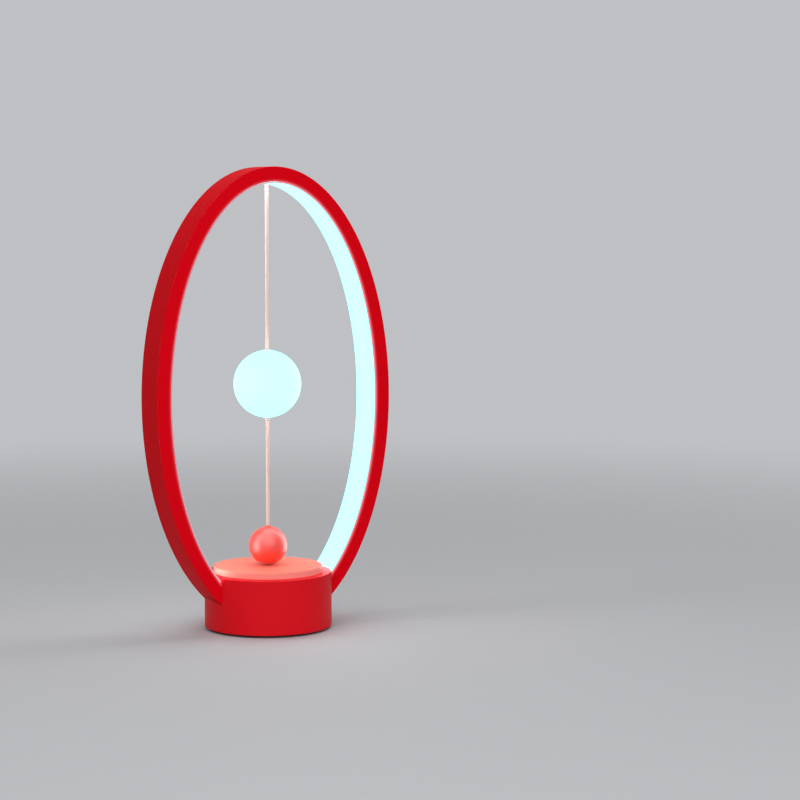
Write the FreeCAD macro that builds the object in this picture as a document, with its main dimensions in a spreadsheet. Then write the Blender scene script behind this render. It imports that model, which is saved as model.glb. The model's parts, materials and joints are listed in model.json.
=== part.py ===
import FreeCAD, Part
import math
import os

import Sketcher
from FreeCAD import Placement, Rotation, Vector

# A magnetic balance lamp: an oval ring of light stands in a round base, and a glowing globe hangs from
# the top of the ring. A small magnetic ball hangs from the globe and floats just over the base's deck.
# Millimetres. X runs across the ring, Y through its depth (the front is -Y), Z is up, and the origin is
# the middle of the base on the surface that the lamp stands on.

# Every size that can be set by itself. All others follow from these.
SIZES = {
    # ring
    "ring_half_width": 100.0,
    "ring_half_height": 181.5,
    "ring_sink": 2.0,  # height of the whole oval's lowest point, which the base hides
    "ring_depth": 33.0,
    "ring_face": 11.7,  # radial width of the front face
    "ring_plate": 2.2,  # front and rear walls
    "ring_wall": 2.0,  # outer wall
    "ring_rounding": 0.5,
    "cover_lip": 2.0,  # how far the front cover's lip reaches into the channel
    "cover_lip_wall": 1.2,
    # diffuser
    "diffuser_proud": 1.1,
    "diffuser_margin": 0.3,
    "diffuser_skin": 1.1,
    "diffuser_rib": 2.1,
    "diffuser_rib_wall": 1.2,
    # light strip
    "strip_width": 10.0,
    "strip_thickness": 0.3,
    "led_length": 3.5,
    "led_width": 2.8,
    "led_thickness": 1.6,
    "led_pitch": 12.0,
    "resistor_length": 2.0,
    "resistor_width": 1.2,
    "resistor_thickness": 0.5,
    # legs of the ring inside the base
    "leg_reach": 14.5,
    "plug_length": 10.0,
    "plug_width": 24.0,
    "bracket_sheet": 1.5,
    "bracket_lift": 2.0,
    "bracket_boss_inset": 12.0,
    "leg_screw_drop": 4.5,
    "leg_screw_spread": 6.0,
    # base
    "base_radius": 50.5,
    "base_wall": 2.5,
    "rim_height": 45.0,
    "rim_rounding": 0.8,
    "boss_radius": 3.5,
    "boss_inset": 10.5,
    "foot_radius": 4.0,
    "foot_height": 2.0,
    "foot_recess": 1.0,
    "foot_inset": 10.5,
    "floor_thickness": 3.0,
    "ballast_thickness": 6.0,
    "ballast_lip": 1.8,
    "ballast_lip_height": 2.0,
    # deck
    "rim_ledge": 7.2,
    "deck_rise": 5.0,
    "deck_skin": 2.2,
    "deck_rounding": 0.7,
    "deck_cover": 1.8,  # plastic left above the magnet
    "deck_screw_circle": 30.0,
    "magnet_radius": 7.5,
    "magnet_thickness": 5.0,
    "keeper_thickness": 1.7,
    "hub_wall": 4.3,
    # electronics
    "sensor_board_thickness": 1.4,
    "sensor_length": 4.0,
    "sensor_width": 3.0,
    "sensor_thickness": 1.5,
    "board_front": 14.0,
    "board_thickness": 1.6,
    "board_lift": 2.5,
    "board_tongue": 14.0,
    "board_boss_inset": 4.0,
    "board_boss_row": 6.0,  # from the board's front edge
    "board_boss_radius": 3.0,
    "port_width": 8.94,
    "port_height": 3.26,
    "port_depth": 7.3,
    "port_sheet": 0.3,
    "port_recess": 1.0,
    "port_tongue_width": 6.7,
    "port_tongue_thickness": 0.7,
    "port_tongue_length": 5.0,
    "wire_radius": 0.6,
    "wire_spread": 2.0,  # between two wires that run side by side
    "contact_pitch": 1.3,  # between wires where they enter the board's socket
    # cords and their pivots
    "cord_radius": 1.35,
    "upper_cord_length": 131.25,  # from the pivot in the ring to the top of the globe
    "bead_radius": 1.95,
    "tail_radius": 0.8,
    "knot_radius": 1.7,
    "cord_knot_radius": 2.3,
    "socket_radius": 2.6,
    "socket_length": 5.8,
    "socket_flange": 4.0,
    "socket_flange_thickness": 1.0,
    "hanger_half_length": 7.0,
    # globe
    "globe_radius": 26.6,
    "globe_wall": 1.6,
    "globe_lip": 2.0,
    "globe_lip_wall": 1.0,
    "cap_radius": 3.8,
    "cap_proud": 1.0,
    "cap_flange": 6.0,
    "cap_flange_thickness": 1.2,
    "core_radius": 4.5,
    "core_wall": 1.2,
    "core_shoulder": 6.5,
    "core_shoulder_thickness": 1.2,
    "globe_board_radius": 14.0,
    "globe_board_thickness": 1.6,
    "globe_led_circle": 10.0,
    # ball
    "ball_radius": 15.3,
    "ball_float": 0.3,  # gap between the ball and the deck
    "ball_magnet_radius": 5.0,
    "ball_magnet_thickness": 5.0,
    "ball_plug_thickness": 2.4,
    "ferrule_radius": 2.3,
    "ferrule_proud": 0.8,
    "ferrule_depth": 3.2,
    # screws
    "screw_radius": 1.5,
    "screw_head_radius": 2.7,
    "screw_head_height": 1.6,
    "screw_reach": 9.0,
    "small_screw_radius": 1.0,
    "small_head_radius": 1.9,
    "small_head_height": 1.3,
    "small_screw_reach": 5.5,
    # clearances
    "seat_gap": 0.1,
    "glue_gap": 0.05,
    "turn_gap": 0.08,
    "thread_gap": 0.05,
    "hole_gap": 0.2,
    "floor_gap": 0.2,
    "window_gap": 0.3,
    "post_gap": 0.5,
    "parts_gap": 1.4,
    "board_gap": 1.5,
    "board_back_gap": 10.0,
}

LED_COUNT_ON_GLOBE_BOARD = 6
BOTTOM_SCREW_ANGLES = (60, 120, 240, 300)
FOOT_ANGLES = (0, 90, 180, 270)
DECK_SCREW_ANGLES = (90, 210, 330)

doc = FreeCAD.newDocument("balance_lamp")


class Rule:
    """A length that follows from the sheet: its expression, and its value in millimetres."""

    def __init__(self, text, value):
        self.text = text
        self.value = value

    @staticmethod
    def of(thing):
        return thing if isinstance(thing, Rule) else Rule(f"({float(thing)})", float(thing))

    def __add__(self, other):
        other = Rule.of(other)
        return Rule(f"({self.text} + {other.text})", self.value + other.value)

    def __sub__(self, other):
        other = Rule.of(other)
        return Rule(f"({self.text} - {other.text})", self.value - other.value)

    def __mul__(self, other):
        other = Rule.of(other)
        return Rule(f"({self.text} * {other.text})", self.value * other.value)

    def __truediv__(self, other):
        other = Rule.of(other)
        return Rule(f"({self.text} / {other.text})", self.value / other.value)

    def __neg__(self):
        return Rule(f"(-{self.text})", -self.value)

    def __radd__(self, other):
        return Rule.of(other) + self

    def __rsub__(self, other):
        return Rule.of(other) - self

    def __rmul__(self, other):
        return Rule.of(other) * self


def root(rule):
    """The square root of a rule."""
    return Rule(f"sqrt({rule.text})", math.sqrt(rule.value))


class Sheet:
    """The document's spreadsheet, with one rule for each named size."""

    def __init__(self, sizes):
        self.cells = doc.addObject("Spreadsheet::Sheet", "sizes")
        for row, (name, value) in enumerate(sizes.items(), start=1):
            self.cells.set(f"A{row}", name)
            self.cells.set(f"B{row}", str(value))
            self.cells.setAlias(f"B{row}", name)
        doc.recompute()

    def __getattr__(self, name):
        return Rule(f"sizes.{name}", float(self.cells.get(name)))


s = Sheet(SIZES)
ring_middle = s.ring_sink + s.ring_half_height


def oval_reach(x, inset):
    """How far above and below its middle the oval, drawn in by an inset, is at a distance x from it."""
    share = x / (s.ring_half_width - inset)
    return (s.ring_half_height - inset) * root(1 - share * share)


def ring_height_at(x, inset):
    """Height of the oval's lower half, drawn in by an inset, at a distance x from the middle."""
    return ring_middle - oval_reach(x, inset)


# Levels and distances that several pieces share.
ring_top = ring_middle + s.ring_half_height
half_depth = s.ring_depth / 2
cavity_half = half_depth - s.ring_plate
leg_end = s.base_radius - s.leg_reach
shell_inside = s.base_radius - s.base_wall
ceiling = s.rim_height - s.base_wall
floor_top = s.foot_height + s.floor_thickness
ballast_top = floor_top + s.ballast_thickness
bracket_low = ballast_top + s.bracket_lift
bracket_top = bracket_low + s.bracket_sheet
bracket_boss_x = leg_end - s.bracket_boss_inset
board_low = bracket_top + s.board_lift
board_top = board_low + s.board_thickness
boss_circle = s.base_radius - s.boss_inset
foot_circle = s.base_radius - s.foot_inset
ballast_radius = boss_circle - s.boss_radius - s.post_gap - s.ballast_lip - s.hole_gap
post_x = boss_circle * math.cos(math.radians(BOTTOM_SCREW_ANGLES[0]))
board_half_width = post_x - s.boss_radius - s.board_gap
board_back = shell_inside - s.board_back_gap
board_boss_x = board_half_width - s.board_boss_inset
board_boss_y = s.board_front + s.board_boss_row
deck_radius = s.base_radius - s.rim_ledge
deck_top = s.rim_height + s.deck_rise
hub_radius = s.magnet_radius + s.hub_wall
magnet_top = deck_top - s.deck_cover
magnet_low = magnet_top - s.magnet_thickness
hub_low = magnet_low - s.keeper_thickness
sensor_board_low = hub_low - s.sensor_board_thickness
sensor_screw_x = s.magnet_radius + s.hub_wall / 2
leg_width = s.plug_width / 2
strip_end = leg_end + s.plug_length + s.diffuser_skin
strip_back = s.ring_wall + s.glue_gap
strip_front = strip_back + s.strip_thickness
diffuser_back = s.ring_face - s.diffuser_skin
diffuser_front = s.ring_face + s.diffuser_proud
upper_pivot = ring_top - diffuser_front
hanger_low = ring_top - diffuser_back + s.seat_gap
lip_inside = s.ring_wall + s.seat_gap + s.cover_lip_wall
hanger_top = ring_middle + oval_reach(s.hanger_half_length, lip_inside) - s.seat_gap
socket_top = upper_pivot + s.socket_length
globe_top = upper_pivot - s.upper_cord_length
globe_middle = globe_top - s.globe_radius
globe_inside = s.globe_radius - s.globe_wall
cap_seat = root(globe_inside * globe_inside - s.cap_flange * s.cap_flange) - s.hole_gap
cap_back = cap_seat - s.cap_flange_thickness
lower_pivot = globe_middle - s.globe_radius - s.cap_proud
ball_middle = deck_top + s.ball_float + s.ball_radius
ferrule_top = ball_middle + s.ball_radius + s.ferrule_proud
bead_seat = s.bead_radius + s.turn_gap
cord_bore = s.cord_radius + s.turn_gap
tail_bore = s.tail_radius + s.turn_gap
leg_inner_height = ring_height_at(leg_end, s.ring_face)
leg_screw_height = leg_inner_height - s.leg_screw_drop

ALONG = {
    "up": Rotation(),
    "down": Rotation(Vector(1, 0, 0), 180),
    "right": Rotation(Vector(0, 1, 0), 90),
    "left": Rotation(Vector(0, 1, 0), -90),
    "back": Rotation(Vector(1, 0, 0), -90),
}
UPRIGHT_OVAL = Rotation(Vector(1, 1, 1), -120)  # the long axis stands up and the oval faces +Y


def bind(item, **rules):
    """Tie properties of an item to the sheet."""
    for name, rule in rules.items():
        item.setExpression(name, Rule.of(rule).text)
    return item


def put(item, x=0, y=0, z=0, turn=None):
    """Give an item its place, tied to the sheet, and its turn."""
    item.Placement = Placement(Vector(0, 0, 0), turn or Rotation())
    for axis, rule in zip("xyz", (x, y, z)):
        item.setExpression(f"Placement.Base.{axis}", Rule.of(rule).text)
    return item


def cylinder(radius, length, x=0, y=0, z=0, way="up"):
    """A round bar from (x, y, z) along a named way."""
    bar = bind(doc.addObject("Part::Cylinder", "bar"), Radius=radius, Height=length)
    return put(bar, x, y, z, ALONG[way])


def box(x, y, z):
    """A block between pairs of low and high rules along each axis."""
    low = [Rule.of(pair[0]) for pair in (x, y, z)]
    high = [Rule.of(pair[1]) for pair in (x, y, z)]
    length, width, height = (top - bottom for top, bottom in zip(high, low))
    return put(bind(doc.addObject("Part::Box", "block"), Length=length, Width=width, Height=height), *low)


def sphere(radius, x=0, y=0, z=0):
    """A full ball about (x, y, z)."""
    return put(bind(doc.addObject("Part::Sphere", "round"), Radius=radius), x, y, z)


def oval_bar(inset, y_low, y_high):
    """A solid oval bar, the ring's outline drawn in by an inset, from y_low to y_high."""
    y_low = Rule.of(y_low)
    oval = doc.addObject("Part::Ellipse", "oval")
    bind(oval, MajorRadius=s.ring_half_height - inset, MinorRadius=s.ring_half_width - inset)
    put(oval, 0, y_low, ring_middle, UPRIGHT_OVAL)
    bar = doc.addObject("Part::Extrusion", "oval_bar")
    bar.Base = oval
    bar.DirMode = "Custom"
    bar.Dir = Vector(0, 1, 0)
    bar.Solid = True
    return bind(bar, LengthFwd=Rule.of(y_high) - y_low)


def together(name, pieces):
    """One solid from pieces that meet."""
    whole = doc.addObject("Part::MultiFuse", name)
    whole.Shapes = pieces
    return whole


def cut(name, piece, tools):
    """A piece less its tools."""
    rest = doc.addObject("Part::Cut", name)
    rest.Base = piece
    rest.Tool = tools[0] if len(tools) == 1 else together(f"{name}_tools", tools)
    return rest


def shared(name, first, second):
    """What two pieces have in common."""
    both = doc.addObject("Part::Common", name)
    both.Base = first
    both.Tool = second
    return both


def group(name, pieces):
    """Separate solids that make one node."""
    several = doc.addObject("Part::Compound", name)
    several.Links = pieces
    return several


def turned(name, outline, rounded=()):
    """A piece turned about Z from a closed outline of (radius, height) corners, in order.

    rounded holds (corner number, rounding) pairs, for the rims at those corners.
    """
    body = doc.addObject("PartDesign::Body", name)
    sketch = body.newObject("Sketcher::SketchObject", f"{name}_outline")
    plane = next(item for item in body.Origin.OriginFeatures if item.Role == "XZ_Plane")
    sketch.AttachmentSupport = [(plane, "")]
    sketch.MapMode = "FlatFace"
    corners = [(Rule.of(radius), Rule.of(height)) for radius, height in outline]
    points = [Vector(radius.value, height.value, 0) for radius, height in corners]
    count = len(points)
    for number in range(count):
        sketch.addGeometry(Part.LineSegment(points[number], points[(number + 1) % count]), False)
    for number, (radius, height) in enumerate(corners):
        sketch.addConstraint(Sketcher.Constraint("Coincident", number, 2, (number + 1) % count, 1))
        for kind, rule in (("DistanceX", radius), ("DistanceY", height)):
            row = sketch.addConstraint(Sketcher.Constraint(kind, -1, 1, number, 1, rule.value))
            sketch.setExpression(f"Constraints[{row}]", rule.text)
    spun = body.newObject("PartDesign::Revolution", f"{name}_spun")
    spun.Profile = sketch
    spun.ReferenceAxis = (sketch, ["V_Axis"])
    spun.Angle = 360
    doc.recompute()
    for corner, rounding in rounded:
        rims = [
            f"Edge{number}"
            for number, edge in enumerate(body.Shape.Edges, start=1)
            if isinstance(edge.Curve, Part.Circle)
            and abs(edge.Curve.Radius - points[corner].x) < 1e-6
            and abs(edge.Curve.Center.z - points[corner].y) < 1e-6
        ]
        sharp = body.Tip
        fillet = body.newObject("PartDesign::Fillet", f"{name}_rounding")
        fillet.Base = (sharp, rims)
        bind(fillet, Radius=rounding)
        doc.recompute()
    return body


def around(circle, angles):
    """Places (x, y) on a circle about Z."""
    turns = [math.radians(angle) for angle in angles]
    return [(circle * math.cos(turn), circle * math.sin(turn)) for turn in turns]


def screw(radius, head_radius, head_height, reach, x, y, z, way):
    """A pan-head screw with a cross recess. Its head bears at (x, y, z) and its shank runs along way."""
    head = cylinder(head_radius, head_height, z=-head_height)
    shape = together("screw_blank", [head, cylinder(radius, reach)])
    arm, slot = head_radius * 0.55, head_radius * 0.12
    recess = [
        box((-arm, arm), (-slot, slot), (-head_height, -head_height / 2)),
        box((-slot, slot), (-arm, arm), (-head_height, -head_height / 2)),
    ]
    return put(cut("screw", shape, recess), x, y, z, ALONG[way])


def large_screw(x, y, z, way="up"):
    """A screw of the size that closes the base."""
    return screw(s.screw_radius, s.screw_head_radius, s.screw_head_height, s.screw_reach, x, y, z, way)


def small_screw(x, y, z, way="up"):
    """A screw of the size that holds the deck, the boards and the legs."""
    radius, reach = s.small_screw_radius, s.small_screw_reach
    return screw(radius, s.small_head_radius, s.small_head_height, reach, x, y, z, way)


def stadium(width, height, y, z):
    """A bar along Y with round sides, standing on height z[0]."""
    low, reach = y
    radius = height / 2
    side = width / 2 - radius
    middle = z + radius
    return together("stadium", [
        box((-side, side), (low, low + reach), (z, z + height)),
        cylinder(radius, reach, -side, low, middle, "back"),
        cylinder(radius, reach, side, low, middle, "back"),
    ])


# ---------------------------------------------------------------- ring


def below_legs(half_width):
    """The block that takes away the oval's foot between the two legs."""
    return box((-half_width, half_width), (-s.ring_depth, s.ring_depth), (-s.ring_depth, deck_top))


def oval_edges(item, inset, y):
    """Names of the oval edges of an item at an inset and a depth."""
    return [
        number
        for number, edge in enumerate(item.Shape.Edges, start=1)
        if isinstance(edge.Curve, Part.Ellipse)
        and abs(edge.Curve.MajorRadius - (s.ring_half_height - inset).value) < 1e-6
        and abs(edge.Curve.Center.y - y.value) < 1e-6
    ]


def rounded_oval(name, item, inset, y, radius):
    """An item with its oval edges at an inset and a depth rounded."""
    doc.recompute()
    fillet = doc.addObject("Part::Fillet", name)
    fillet.Base = item
    fillet.Edges = [(number, radius.value, radius.value) for number in oval_edges(item, inset, y)]
    return fillet


def ring_channel():
    """The ring's rear plate and outer wall in one moulding, open to the front and the inside."""
    front = -cavity_half
    hollow = oval_bar(s.ring_wall, front, cavity_half)
    middle = oval_bar(s.ring_face, front, half_depth)
    sharp = cut("channel_sharp", oval_bar(0, front, half_depth), [hollow, middle, below_legs(leg_end)])
    return rounded_oval("ring_channel", sharp, 0, half_depth, s.ring_rounding)


def ring_front_cover():
    """The front plate, with a lip that locates inside the channel's outer wall."""
    lip_outside = s.ring_wall + s.seat_gap
    lip_low, lip_high = -cavity_half, s.cover_lip - cavity_half
    lip = cut("cover_lip_ring", oval_bar(lip_outside, lip_low, lip_high),
              [oval_bar(lip_inside, lip_low, lip_high)])
    middle = oval_bar(s.ring_face, -half_depth, lip_low)
    plate = cut("cover_plate", oval_bar(0, -half_depth, lip_low), [middle])
    sharp = cut("cover_sharp", together("cover_whole", [plate, lip]), [below_legs(leg_end)])
    return rounded_oval("ring_front_cover", sharp, 0, -half_depth, s.ring_rounding)


def diffuser():
    """The opal strip that closes the ring's inside, proud of the plates, with ribs that sit between them."""
    wide = half_depth - s.diffuser_margin
    narrow = cavity_half - s.seat_gap
    rib_inside = narrow - s.diffuser_rib_wall
    rib_back = diffuser_back - s.diffuser_rib
    blank = together("diffuser_blank", [
        oval_bar(rib_back, -narrow, narrow),
        oval_bar(s.ring_face + s.seat_gap, -wide, wide),
    ])
    between_ribs = cut("rib_space", oval_bar(0, -rib_inside, rib_inside),
                       [oval_bar(diffuser_back, -rib_inside, rib_inside)])
    base_room = cylinder(s.base_radius + s.window_gap, s.rim_height + s.window_gap)
    deck_room = cylinder(deck_radius + s.window_gap, deck_top + s.window_gap)
    socket_hole = cylinder(s.socket_radius + s.seat_gap, s.ring_face, z=upper_pivot - s.ring_face / 2)
    front = oval_bar(diffuser_front, -wide, wide)
    return cut("diffuser", blank, [front, between_ribs, base_room, deck_room, socket_hole])


def led_strip():
    """The flexible circuit stuck to the inner side of the ring's outer wall."""
    half = s.strip_width / 2
    band = cut("strip_band", oval_bar(strip_back, -half, half), [oval_bar(strip_front, -half, half)])
    return cut("led_strip", band, [below_legs(strip_end)])


def along_strip(length, width, thickness, phase):
    """Small blocks on the light strip at the pitch of its lamps, in a compound.

    phase is the share of a pitch by which the row is moved along. The row leaves the hanger's place and
    the legs free.
    """
    inset = (strip_front + s.glue_gap).value
    tall, wide = s.ring_half_height.value - inset, s.ring_half_width.value - inset
    line = Part.Ellipse(Vector(0, 0, 0), tall, wide).toShape()
    line.Placement = Placement(Vector(0, 0, ring_middle.value), UPRIGHT_OVAL)
    count = int(line.Length / s.led_pitch.value)
    step = line.Length / count
    free = s.hanger_half_length.value + s.led_pitch.value / 2
    blocks = []
    for number in range(count):
        place = line.getParameterByLength(min((number + phase) * step, line.Length))
        point, heading = line.valueAt(place), line.tangentAt(place)
        by_hanger = abs(point.x) < free and point.z > ring_middle.value
        if by_hanger or point.z < deck_top.value:
            continue
        inward = heading.cross(Vector(0, 1, 0))
        if inward.dot(Vector(0, 0, ring_middle.value) - point) < 0:
            inward = -inward
        block = Part.makeBox(length.value, width.value, thickness.value,
                             Vector(-length.value / 2, -width.value / 2, 0))
        block.Placement = Placement(point, Rotation(heading, Vector(0, 1, 0), inward, "ZXY"))
        blocks.append(block)
    return Part.makeCompound(blocks)


def strip_parts(name, length, width, thickness, phase):
    """A row of electronic parts on the light strip."""
    row = doc.addObject("Part::Feature", name)
    row.Shape = along_strip(length, width, thickness, phase)
    return row


def ring_end_plugs():
    """A block inside the end of each leg, which takes the bracket's screws."""
    plugs = []
    inset = s.ring_wall + s.seat_gap
    band = cut("plug_band", oval_bar(inset, -leg_width, leg_width),
               [oval_bar(s.ring_face - s.seat_gap, -leg_width, leg_width)])
    for side, way in ((1, "right"), (-1, "left")):
        near, far = leg_end * side, (leg_end + s.plug_length) * side
        x = (near, far) if side > 0 else (far, near)
        piece = shared("plug_piece", band, box(x, (-leg_width, leg_width), (0, s.rim_height)))
        holes = [
            cylinder(s.small_screw_radius + s.thread_gap, s.small_screw_reach, near, y, leg_screw_height, way)
            for y in (-s.leg_screw_spread, s.leg_screw_spread)
        ]
        plugs.append(cut("plug", piece, holes))
    return group("ring_end_plugs", plugs)


def ring_bracket():
    """The steel strap that ties the two legs together and to the base."""
    half = leg_width
    plate = box((-leg_end, leg_end), (-half, half), (bracket_low, bracket_top))
    pieces, holes = [plate], []
    for side, way in ((1, "right"), (-1, "left")):
        inner, outer = (leg_end - s.bracket_sheet) * side, leg_end * side
        x = (inner, outer) if side > 0 else (outer, inner)
        pieces.append(box(x, (-half, half), (bracket_low, leg_inner_height - s.seat_gap)))
        boss_x = bracket_boss_x * side
        holes.append(cylinder(s.screw_radius + s.hole_gap, s.bracket_sheet, boss_x, 0, bracket_low))
        holes += [
            cylinder(s.small_screw_radius + s.hole_gap, s.bracket_sheet, inner, y, leg_screw_height, way)
            for y in (-s.leg_screw_spread, s.leg_screw_spread)
        ]
    return cut("ring_bracket", together("strap", pieces), holes)


def ring_screws():
    """Four screws through the bracket's ends into the plugs."""
    inner = leg_end - s.bracket_sheet
    return group("ring_screws", [
        small_screw(inner * side, y, leg_screw_height, way)
        for side, way in ((1, "right"), (-1, "left"))
        for y in (-s.leg_screw_spread, s.leg_screw_spread)
    ])


# ---------------------------------------------------------------- base


def base_shell():
    """The round housing, open below, with windows for the legs and posts for the screws."""
    hole = hub_radius + s.hole_gap
    cup = turned("shell_cup", [
        (hole, s.rim_height), (s.base_radius, s.rim_height), (s.base_radius, s.foot_height),
        (shell_inside, s.foot_height), (shell_inside, ceiling), (hole, ceiling),
    ], rounded=[(1, s.rim_rounding)])
    posts, holes = [cup], []
    pilot = s.screw_radius + s.thread_gap
    small_pilot = s.small_screw_radius + s.thread_gap
    for x, y in around(boss_circle, BOTTOM_SCREW_ANGLES):
        posts.append(cylinder(s.boss_radius, ceiling - floor_top + s.seat_gap, x, y, floor_top))
        holes.append(cylinder(pilot, s.screw_reach, x, y, floor_top))
    for side in (1, -1):
        x = bracket_boss_x * side
        posts.append(cylinder(s.boss_radius, ceiling - bracket_top + s.seat_gap, x, 0, bracket_top))
        holes.append(cylinder(pilot, s.screw_reach, x, 0, bracket_top))
        board_post = (board_boss_x * side, board_boss_y)
        posts.append(cylinder(s.board_boss_radius, ceiling - board_top + s.seat_gap, *board_post, board_top))
        holes.append(cylinder(small_pilot, s.small_screw_reach, *board_post, board_top))
    for x, y in around(s.deck_screw_circle, DECK_SCREW_ANGLES):
        holes.append(cylinder(s.small_screw_radius + s.hole_gap, s.base_wall, x, y, ceiling))
    return cut("base_shell", together("shell_blank", posts), [*holes, leg_windows(), port_window()])


def leg_windows():
    """The room that the ring's legs take in the housing's wall."""
    deep = half_depth + s.window_gap
    middle = oval_bar(s.ring_face + s.window_gap, -deep, deep)
    band = cut("window_band", oval_bar(-s.window_gap, -deep, deep), [middle])
    return cut("windows", band, [below_legs(leg_end - s.window_gap)])


def port_window():
    """The slot in the housing's back wall round the charging port."""
    gap = s.hole_gap
    through = (shell_inside - s.base_wall, s.base_wall * 3)
    return stadium(s.port_width + gap * 2, s.port_height + gap * 2, through, board_top - gap)


def bottom_cover():
    """The plate that closes the base, with a lip round the ballast and recesses for feet and screw heads."""
    radius = shell_inside - s.floor_gap
    near = ballast_radius + s.hole_gap
    far = near + s.ballast_lip
    lip_top = floor_top + s.ballast_lip_height
    plate = turned("floor_plate", [
        (0, s.foot_height), (radius, s.foot_height), (radius, floor_top), (far, floor_top),
        (far, lip_top), (near, lip_top), (near, floor_top), (0, floor_top),
    ])
    tools = []
    head_room = s.screw_head_height + s.hole_gap
    for x, y in around(boss_circle, BOTTOM_SCREW_ANGLES):
        tools.append(cylinder(s.screw_radius + s.hole_gap, s.floor_thickness, x, y, s.foot_height))
        tools.append(cylinder(s.screw_head_radius + s.hole_gap, head_room, x, y, s.foot_height))
    for x, y in around(foot_circle, FOOT_ANGLES):
        tools.append(cylinder(s.foot_radius + s.seat_gap, s.foot_recess, x, y, s.foot_height))
    return cut("bottom_cover", plate, tools)


def bottom_screws():
    """Four screws up through the cover into the housing's posts."""
    height = s.foot_height + s.screw_head_height + s.hole_gap
    places = around(boss_circle, BOTTOM_SCREW_ANGLES)
    return group("bottom_screws", [large_screw(x, y, height) for x, y in places])


def rubber_feet():
    """Four round pads that the lamp stands on."""
    length = s.foot_height + s.foot_recess
    places = around(foot_circle, FOOT_ANGLES)
    return group("rubber_feet", [cylinder(s.foot_radius, length, x, y) for x, y in places])


def bracket_screws():
    """Two screws up through the bracket into the housing's posts."""
    return group("bracket_screws", [large_screw(bracket_boss_x * side, 0, bracket_low) for side in (1, -1)])


# ---------------------------------------------------------------- deck


def deck():
    """The round deck on top of the base. Its hub passes through the housing and holds the magnet."""
    pocket = s.magnet_radius + s.seat_gap
    inside = deck_radius - s.deck_skin
    skin_low = deck_top - s.deck_skin
    disc = turned("deck_disc", [
        (0, deck_top), (deck_radius, deck_top), (deck_radius, s.rim_height), (inside, s.rim_height),
        (inside, skin_low), (hub_radius, skin_low), (hub_radius, hub_low), (pocket, hub_low),
        (pocket, magnet_top), (0, magnet_top),
    ], rounded=[(1, s.deck_rounding)])
    posts, holes = [disc], []
    pilot = s.small_screw_radius + s.thread_gap
    pilot_depth = s.small_screw_reach - s.base_wall + s.seat_gap
    for x, y in around(s.deck_screw_circle, DECK_SCREW_ANGLES):
        posts.append(cylinder(s.board_boss_radius, s.deck_rise - s.seat_gap, x, y, s.rim_height))
        holes.append(cylinder(pilot, pilot_depth, x, y, s.rim_height))
    for side in (1, -1):
        holes.append(cylinder(pilot, s.small_screw_reach, sensor_screw_x * side, 0, hub_low))
    return cut("deck", together("deck_blank", posts), holes)


def deck_screws():
    """Three screws up through the housing into the deck."""
    return group("deck_screws", [
        small_screw(x, y, ceiling) for x, y in around(s.deck_screw_circle, DECK_SCREW_ANGLES)
    ])


def disc(name, radius, thickness, z):
    """A plain disc on the lamp's axis."""
    bar = bind(doc.addObject("Part::Cylinder", name), Radius=radius, Height=thickness)
    return put(bar, z=z)


def sensor_board():
    """The small round circuit board under the hub, which also keeps the magnet in."""
    bore, thickness = s.small_screw_radius + s.hole_gap, s.sensor_board_thickness
    holes = [cylinder(bore, thickness, sensor_screw_x * side, 0, sensor_board_low) for side in (1, -1)]
    return cut("sensor_board", cylinder(hub_radius, s.sensor_board_thickness, z=sensor_board_low), holes)


def sensor_screws():
    """Two screws that hold the sensor board to the hub."""
    places = [sensor_screw_x * side for side in (1, -1)]
    return group("sensor_screws", [small_screw(x, 0, sensor_board_low) for x in places])


def hall_sensor():
    """The switch that feels the ball's magnet: a small block under the sensor board."""
    length, width = s.sensor_length / 2, s.sensor_width / 2
    block = bind(doc.addObject("Part::Box", "hall_sensor"), Length=s.sensor_length, Width=s.sensor_width,
                 Height=s.sensor_thickness)
    return put(block, -length, -width, sensor_board_low - s.sensor_thickness)


# ---------------------------------------------------------------- control board, port and wires


def control_board():
    """The driver board, hung from two posts, with a tongue that carries the port to the back wall."""
    tongue_end = shell_inside - s.port_recess
    levels = (board_low, board_top)
    plate = together("board_blank", [
        box((-board_half_width, board_half_width), (s.board_front, board_back), levels),
        box((-s.board_tongue / 2, s.board_tongue / 2), (board_back - s.seat_gap, tongue_end), levels),
    ])
    bore, thickness = s.small_screw_radius + s.hole_gap, s.board_thickness
    holes = [cylinder(bore, thickness, board_boss_x * side, board_boss_y, board_low) for side in (1, -1)]
    return cut("control_board", plate, holes)


def board_screws():
    """Two screws up through the control board into the housing's posts."""
    return group("board_screws", [
        small_screw(board_boss_x * side, board_boss_y, board_low) for side in (1, -1)
    ])


def board_parts():
    """The driver chip, coil, capacitors and plug sockets on the control board."""
    unit = s.board_thickness
    can_radius, can_row = unit * 1.2, unit * 1.6
    row = board_boss_y + s.board_boss_radius + s.parts_gap + can_radius + can_row
    chip_half, coil_half = unit * 1.3, unit * 1.6
    chip = box((-coil_half, coil_half), (row - chip_half, row + chip_half),
               (board_top, board_top + unit * 0.7))
    coil = box((unit * 3, unit * 6.2), (row - coil_half, row + coil_half),
               (board_top, board_top + unit * 1.9))
    cans = [
        cylinder(can_radius, unit * 3.4, -unit * 4.2, row + can_row * side, board_top) for side in (-1, 1)
    ]
    socket = box((-unit * 2, unit * 2), (s.board_front + unit, s.board_front + unit * 3.2),
                 (board_top, board_top + unit * 2.4))
    return group("board_parts", [chip, coil, *cans, socket])


port_back = s.base_radius - s.port_recess - s.port_depth


def usb_socket():
    """The metal shell of the charging port, open to the back of the lamp."""
    sheet = s.port_sheet
    outside = stadium(s.port_width, s.port_height, (port_back, s.port_depth), board_top)
    inside = stadium(s.port_width - sheet * 2, s.port_height - sheet * 2, (port_back + sheet, s.port_depth),
                     board_top + sheet)
    return cut("usb_socket", outside, [inside])


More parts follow.
